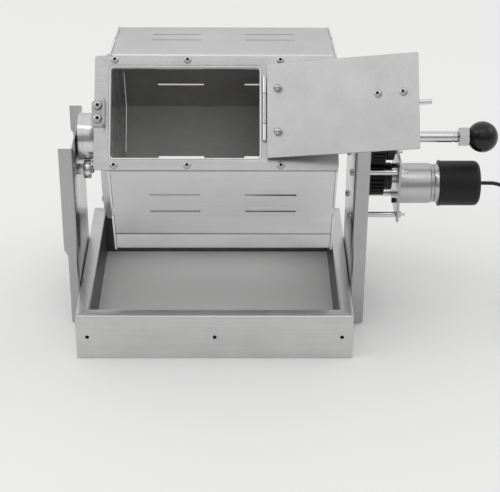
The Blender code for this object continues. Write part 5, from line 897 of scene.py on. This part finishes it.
outward = Matrix.Rotation(math.pi, 4, "X")
cap_screw = cap_head(*HINGE_SCREW)
dome_turns = [math.pi / 2 * step / 10 for step in range(1, 11)]
dome_rows = [circle(0.0034 * math.sin(turn), DOME_FOOT + 0.0032 * math.cos(turn)) for turn in dome_turns]
dome = skinned([circle(0.0001, 0.0058), *dome_rows, circle(0.0036, DOME_FOOT),
                hexagon_loop(0.004, 0.0023), hexagon_loop(0.0041, 0.0018), hexagon_loop(0.0041, 0.0004),
                hexagon_loop(0.0039, 0), circle(0.003, 0)], "skin")
for place, row in (("upper", HINGE_SCREW_ROW), ("lower", -HINGE_SCREW_ROW)):
    piece(f"{place}_hinge_cap_screw", cap_screw, DOOR_FRAME @ move(HINGE_SCREW_X, row, -0.001) @ outward,
          BRIGHT, f"{place}_hinge_screw")
    piece(f"{place}_acorn_nut", dome, DOOR_FRAME @ move(HINGE_SCREW_X, row, SCREW_SEAT), BRIGHT,
          f"{place}_dome_nut")

latch_head = button_head(*LATCH_SCREW)
latch_nut = hex_nut(*LATCH_NUT)
for place, x in (("inner", 0.11), ("outer", 0.134)):
    grouped(f"{place}_latch_bolt_set", [
        (latch_head, DOOR_FRAME @ move(x, LATCH_SCREW_ROW, SCREW_SEAT)),
        (latch_nut, DOOR_FRAME @ move(x, LATCH_SCREW_ROW, -0.0013) @ outward)],
        BRIGHT, f"{place}_latch_screw")

rod_frame = DOOR_FRAME @ move(0.099, LATCH_ROW, LATCH_DEPTH) @ Matrix.Rotation(math.pi / 2, 4, "Y")
rod_profile = [(0, 0.0605), (0.0016, 0.0605), (0.0021, 0.0602), (0.0024, 0.0596), (0.0024, 0.0008),
               (0.0019, 0), (0, 0)]
piece("latch_rod", lathe(rod_profile, SMALL_STEPS), rod_frame, TURNED, "latch_bolt")
peg_frame = DOOR_FRAME @ move(0.119, LATCH_ROW, LATCH_DEPTH) @ outward
peg_profile = [(0, 0.009), (0.0024, 0.009), (0.0029, 0.0087), (0.003, 0.0083), (0.003, 0.0068),
               (0.0028, 0.0064), (0.0018, 0.0062), (0.0015, 0.0058), (0.0015, 0), (0, 0)]
piece("latch_pull_peg", lathe(peg_profile, PIN_STEPS), peg_frame, TURNED, "latch_pull")


# Drive: shaft, bearing, gears, collar, rod, nut and knob

PINION_Z = 0.149
MOTOR_Z = 0.141
SHAFT_START, FLANGE_HEAD_SEAT, BLOCK_START = 0.1186, 0.1226, 0.1421
GEAR_HUB_START, GEAR_START, GEAR_WIDTH = 0.1544, 0.16, 0.014
COLLAR_START, ROD_START, NUT_START, KNOB_START = 0.1743, 0.1833, 0.2493, 0.2601
MOTOR_SHAFT_START = 0.161
FLANGE_SCREW_CIRCLE = 0.01224
HOUSING_SCREW_CIRCLE = (0.0087 + 0.0151) / 2

GEAR_MODULE = 0.0015
PRESSURE_ANGLE = math.radians(20)
BACKLASH = 0.00018
DRUM_TEETH, PINION_TEETH = 36, 24
TIP_BREAK, ROOT_BREAK = 0.00012, 0.00025
TOOTH_EDGE = 0.00022
RECESS_EDGE = 0.0002
FLANK_STEPS = 6
GEAR_SHARP = 28


def turned(name, profile, start, material, node, steps=ROUND_STEPS, ring=False, y=AXIS_Y, z=AXIS_Z):
    """A turned piece whose profile starts at that place and runs along +X."""
    piece(name, lathe(profile, steps, ring), along_x(start, y, z), material, node)


shaft_profile = [(0, 0.0644), (0.0054, 0.0644), (0.006, 0.0638), (0.006, 0.0046), (0.0066, 0.004),
                 (0.0175, 0.004), (0.018, 0.0035), (0.018, 0.0004), (0.0176, 0), (0, 0)]
flange_head = button_head(*FLANGE_SCREW)
grouped("drive_shaft", [(lathe(shaft_profile), along_x(SHAFT_START))]
        + [(flange_head, along_x(FLANGE_HEAD_SEAT, y, z)) for y, z in on_ring(4, FLANGE_SCREW_CIRCLE)],
        TURNED, "drum_shaft")

housing_profile = [(0.0087, 0.0119), (0.014, 0.0119), (0.0148, 0.0116), (0.0151, 0.0108), (0.0151, 0),
                   (0.0087, 0)]
turned("bearing_block", housing_profile, BLOCK_START, BRIGHT, "bearing_housing", ring=True)
fastener_set("bearing_block_screws", button_head(*HOUSING_SCREW),
             [against_x(WEB_INNER, y, z) for y, z in on_ring(3, HOUSING_SCREW_CIRCLE)], "stand")
bush_profile = [(0.0064, 0), (0.0084, 0), (0.0084, 0.0137), (0.0082, 0.0139), (0.0066, 0.0139),
                (0.0064, 0.0137)]
turned("bronze_bush", bush_profile, WEB_INNER, BRONZE, "shaft_bearing", ring=True)


def gear_outline(teeth, shrink=0.0):
    """Involute teeth with round roots and broken tips, the first of which points along +X."""
    pitch = GEAR_MODULE * teeth / 2
    base = pitch * math.cos(PRESSURE_ANGLE)
    tip = pitch + GEAR_MODULE * 0.97 - shrink
    root = pitch - GEAR_MODULE * 1.28 + shrink * 0.2
    involute = math.tan(PRESSURE_ANGLE) - PRESSURE_ANGLE
    half_tooth = math.pi / 2 / teeth - (BACKLASH / 2 + shrink * 0.6) / pitch
    flank = []
    for step in range(FLANK_STEPS + 1):
        radius = base + (tip - TIP_BREAK - base) * step / FLANK_STEPS
        slope = math.acos(min(base / radius, 1.0))
        flank.append((radius, half_tooth + involute - (math.tan(slope) - slope)))
    flank.append((tip, flank[-1][1] - TIP_BREAK / tip))
    flank.insert(0, (min(root + ROOT_BREAK, base), flank[0][1] + 0.00002 / pitch))
    flank.insert(0, (min(root, base), flank[0][1] + ROOT_BREAK / pitch))
    points = []
    for tooth in range(teeth):
        middle = math.tau * tooth / teeth
        sides = [(radius, middle - angle) for radius, angle in flank]
        sides += [(radius, middle + angle) for radius, angle in reversed(flank)]
        points += [(radius * math.cos(angle), radius * math.sin(angle)) for radius, angle in sides]
    return points


def gear_mesh(teeth, bore, recess_inner, recess_outer, recess):
    """A gear with broken edges all round its teeth and a shallow ring moulded in both faces."""
    full, small = gear_outline(teeth), gear_outline(teeth, TOOTH_EDGE)
    turn = math.atan2(full[0][1], full[0][0])

    def loop(points, height):
        return [(x, y, height) for x, y in points]

    def ring(radius, height):
        return circle(radius, height, len(full), turn)

    face = [(bore, 0), (recess_inner - RECESS_EDGE, 0), (recess_inner, RECESS_EDGE), (recess_inner, recess),
            (recess_outer, recess), (recess_outer, RECESS_EDGE), (recess_outer + RECESS_EDGE, 0)]
    return skinned([
        *[ring(radius, height) for radius, height in face], loop(small, 0), loop(full, TOOTH_EDGE),
        loop(full, GEAR_WIDTH - TOOTH_EDGE), loop(small, GEAR_WIDTH),
        *[ring(radius, GEAR_WIDTH - height) for radius, height in reversed(face)]], "gear", close=True)


gear_hub = [(0.0063, 0.0057), (0.011, 0.0057), (0.011, 0.0006), (0.0104, 0), (0.0063, 0)]
grouped("drum_gear_moulded", [(gear_mesh(DRUM_TEETH, 0.0063, 0.0125, 0.0225, 0.0016), along_x(GEAR_START)),
                              (lathe(gear_hub, ring=True), along_x(GEAR_HUB_START))],
        GEAR, "drum_gear", sharp=GEAR_SHARP)

meshed = Matrix.Rotation(math.pi + math.pi / PINION_TEETH, 4, "Z")
pinion_hub = [(0.0043, 0.0083), (0.0136, 0.0083), (0.0142, 0.0077), (0.0142, 0), (0.0043, 0)]
grouped("pinion_moulded", [
    (gear_mesh(PINION_TEETH, 0.0043, 0.0143, 0.015, 0.0004), along_x(GEAR_START, z=PINION_Z) @ meshed),
    (lathe(pinion_hub, ring=True), along_x(GEAR_START + GEAR_WIDTH, z=PINION_Z))],
    GEAR, "pinion_gear", sharp=GEAR_SHARP)
shaft_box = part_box("motor_shaft")
shaft_length = shaft_box[1][0] - shaft_box[0][0]
motor_shaft = [(0, shaft_length), (0.004, shaft_length), (0.004, 0.0004), (0.0036, 0), (0, 0)]
turned("gear_motor_shaft", motor_shaft, MOTOR_SHAFT_START, TURNED, "motor_shaft", SMALL_STEPS, z=PINION_Z)
refined("pinion_setscrew", BLACKED, TINY_EDGE)

collar_profile = [(0.0063, 0.0087), (0.0232, 0.0087), (0.0238, 0.00845), (0.024, 0.0079), (0.024, 0.0019),
                  (0.0238, 0.0013), (0.0232, 0.0011), (0.012, 0.0011), (0.012, 0), (0.0063, 0)]
turned("gear_collar_turned", collar_profile, COLLAR_START, GEAR, "gear_collar", ring=True)

ROD = 0.0657
NUT_HEIGHT = 0.0105
ROD_END = ROD + 0.0006 + NUT_HEIGHT + 0.01
rod_outline = [(0, ROD_END), (0.0036, ROD_END), (0.004, ROD_END - 0.0004), (0.004, ROD), (0.0049, ROD),
               (0.00545, ROD - 0.00025), (0.0057, ROD - 0.0008), (0.0057, ROD - 0.0043),
               (0.00555, ROD - 0.0044), (0.0051, ROD - 0.0045), (0.0051, ROD - 0.0059),
               (0.00555, ROD - 0.006), (0.0057, ROD - 0.0061), (0.0057, 0.0003), (0.0054, 0), (0, 0)]
turned("handle_rod_turned", rod_outline, ROD_START, TURNED, "handle_rod")

NUT_CORNER = 0.009 / HEX_COS


def nut_circle(radius, level):
    return circle(radius, level, ROUND_STEPS)


def nut_edge(level, kept):
    return cut_back(NUT_CORNER, level, lambda reach: kept, ROUND_STEPS)


lock_nut = skinned([
    nut_circle(0.0043, 0), nut_circle(0.0086, 0), nut_edge(0.0001, 0.0092), nut_edge(0.0005, 0.0098),
    nut_edge(0.001, NUT_CORNER), nut_edge(NUT_HEIGHT - 0.001, NUT_CORNER),
    nut_edge(NUT_HEIGHT - 0.0005, 0.0098), nut_edge(NUT_HEIGHT - 0.0001, 0.0092),
    nut_circle(0.0086, NUT_HEIGHT), nut_circle(0.0043, NUT_HEIGHT)], "skin", close=True)
piece("lock_nut_turned", lock_nut, along_x(NUT_START), BRIGHT, "lock_nut")

KNOB_RADIUS, KNOB_MIDDLE = 0.016, 0.27407 - KNOB_START
knob_neck = math.asin(0.0078 / KNOB_RADIUS) - math.pi / 2
ball = arc((0, KNOB_MIDDLE), KNOB_RADIUS, math.pi / 2, knob_neck, 48)
knob_outline = [(0, KNOB_MIDDLE + KNOB_RADIUS), *ball[1:-1], (0.00785, 0.00025), (0.0074, 0),
                (0.0043, 0), (0.0043, 0.0103), (0, 0.0103)]
turned("ball_knob_polished", knob_outline, KNOB_START, KNOB, "ball_knob", LARGE_STEPS)


# Gear motor and its mounting

STANDOFF_SPREAD = 0.0243
STANDOFF_SEAT, PLATE_INNER, PLATE_OUTER = 0.14, 0.1864, 0.1893
BOSS_START, RING_PLACE, COVER_START, GROMMET_START = 0.1826, 0.2266, 0.2313, 0.2742
COVER_LENGTH = 0.0429
GEARBOX_SCREW_CIRCLE, GEARBOX_SCREW_TURN = 0.018, math.radians(60.7)

refined("motor_plate", UPRIGHT, SHEET_EDGE, 3)
standoff_bar = [(0, 0.1864), (0.0026, 0.1864), (0.0029, 0.1861), (0.0029, 0.1424), (0.0026, 0.1421),
                (0, 0.1421)]
for depth, side in (("front", -1), ("rear", 1)):
    for height, level in (("lower", -1), ("upper", 1)):
        node = f"{depth}_{height}_standoff"
        y, z = AXIS_Y + side * STANDOFF_SPREAD, MOTOR_Z + level * STANDOFF_SPREAD
        nut_turn = Matrix.Rotation(math.radians(8 + 17 * level + 23 * side), 4, "Z")
        grouped(f"{node}_turned", [
            (lathe(standoff_bar, PIN_STEPS), along_x(0, y, z)),
            (button_head(*STANDOFF_SCREW), against_x(STANDOFF_SEAT, y, z)),
            (hex_nut(*STANDOFF_NUT), along_x(PLATE_OUTER, y, z) @ nut_turn)],
            TURNED, node)

gearbox_profile = [(0, 0.037), (0.0193, 0.037), (0.0198, 0.0368), (0.02, 0.0363), (0.02, 0.0342),
                   (0.0204, 0.0336), (0.0209, 0.0332), (0.021, 0.0326), (0.021, 0.009), (0.02085, 0.0089),
                   (0.02085, 0.0084), (0.021, 0.0083), (0.021, 0.0004), (0.0206, 0), (0, 0)]
boss_profile = [(0.0043, 0.0068), (0.0069, 0.0068), (0.0069, 0.0004), (0.0065, 0), (0.0043, 0)]
grouped("gearbox_case", [(lathe(gearbox_profile, LARGE_STEPS), along_x(PLATE_OUTER, z=MOTOR_Z)),
                         (lathe(boss_profile, SMALL_STEPS, True), along_x(BOSS_START, z=PINION_Z))],
        GEARBOX_CASE, "gearbox")
ring_profile = [(0, 0.0087), (0.0194, 0.0087), (0.02, 0.0081), (0.02, 0.0066), (0.0194, 0.0064),
                (0.0194, 0.005), (0.02, 0.0048), (0.02, 0.0006), (0.0196, 0), (0, 0)]
turned("motor_ring_turned", ring_profile, RING_PLACE, BRIGHT, "motor_ring", LARGE_STEPS, z=MOTOR_Z)
can_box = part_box("motor_can")
can_radius = (can_box[1][2] - can_box[0][2]) / 2
can_length = can_box[1][0] - can_box[0][0]
can_profile = [(0, can_length), (can_radius - 0.0008, can_length), (can_radius, can_length - 0.0008),
               (can_radius, 0), (0, 0)]
turned("motor_can_drawn", can_profile, can_box[0][0] - STAND.translation.x, BRIGHT, "motor_can", z=MOTOR_Z)

cover_corner = arc((0.0173, COVER_LENGTH - 0.006), 0.006, math.pi / 2, 0, 14)
cover_profile = [(0.0035, COVER_LENGTH), *cover_corner, (0.0233, 0.0023), (0.0235, 0.0019), (0.02385, 0.0016),
                 (0.0239, 0.0012), (0.0239, 0.0003), (0.0236, 0), (0.0206, 0), (0.0203, 0.0003),
                 (0.0203, COVER_LENGTH - 0.005), (0.0035, COVER_LENGTH - 0.005)]
turned("motor_cover_moulded", cover_profile, COVER_START, COVER, "motor_cover", LARGE_STEPS, True, z=MOTOR_Z)
grommet_profile = [(0, 0.0013), (0.0036, 0.0013), (0.0042, 0.0011), (0.0044, 0.0007), (0.0044, 0.0003),
                   (0.0032, 0.0003), (0.0032, -0.005), (0, -0.005)]
turned("lead_grommet", grommet_profile, GROMMET_START, LEAD, "cord_grommet", SMALL_STEPS, z=MOTOR_Z)

gearbox_head = cap_head(*GEARBOX_SCREW)
for node, side in (("upper_gearbox_screw", 1), ("lower_gearbox_screw", -1)):
    y = AXIS_Y + side * GEARBOX_SCREW_CIRCLE * math.cos(GEARBOX_SCREW_TURN)
    z = MOTOR_Z + side * GEARBOX_SCREW_CIRCLE * math.sin(GEARBOX_SCREW_TURN)
    piece(f"{node}_black", gearbox_head, against_x(PLATE_INNER, y, z), BLACKED, node)


# Rollers under the hub ring

ROLLER_START, ROLLER_HEIGHT = -0.1337, 0.16467
ROLLER_HEAD_SEAT, SPACER_START, ROLLER_NUT_SEAT = -0.1259, -0.14, -0.1421

roller_profile = [(0.0029, 0.0075), (0.0086, 0.0075), (0.0091, 0.0073), (0.0093, 0.0069), (0.0093, 0.0006),
                  (0.0091, 0.0002), (0.0086, 0), (0.0029, 0)]
for node, y in (("front_roller", 0.10011), ("rear_roller", 0.13289)):
    turned(f"{node}_turned", roller_profile, ROLLER_START, TURNED, node, ring=True, y=y, z=ROLLER_HEIGHT)
    grouped(f"{node}_bolt_set", [
        (button_head(*ROLLER_SCREW), along_x(ROLLER_HEAD_SEAT, y, ROLLER_HEIGHT)),
        (hex_nut(*ROLLER_SPACER), along_x(SPACER_START, y, ROLLER_HEIGHT)),
        (hex_nut(*ROLLER_NUT), against_x(ROLLER_NUT_SEAT, y, ROLLER_HEIGHT))],
        BRIGHT, f"{node}_bolt")
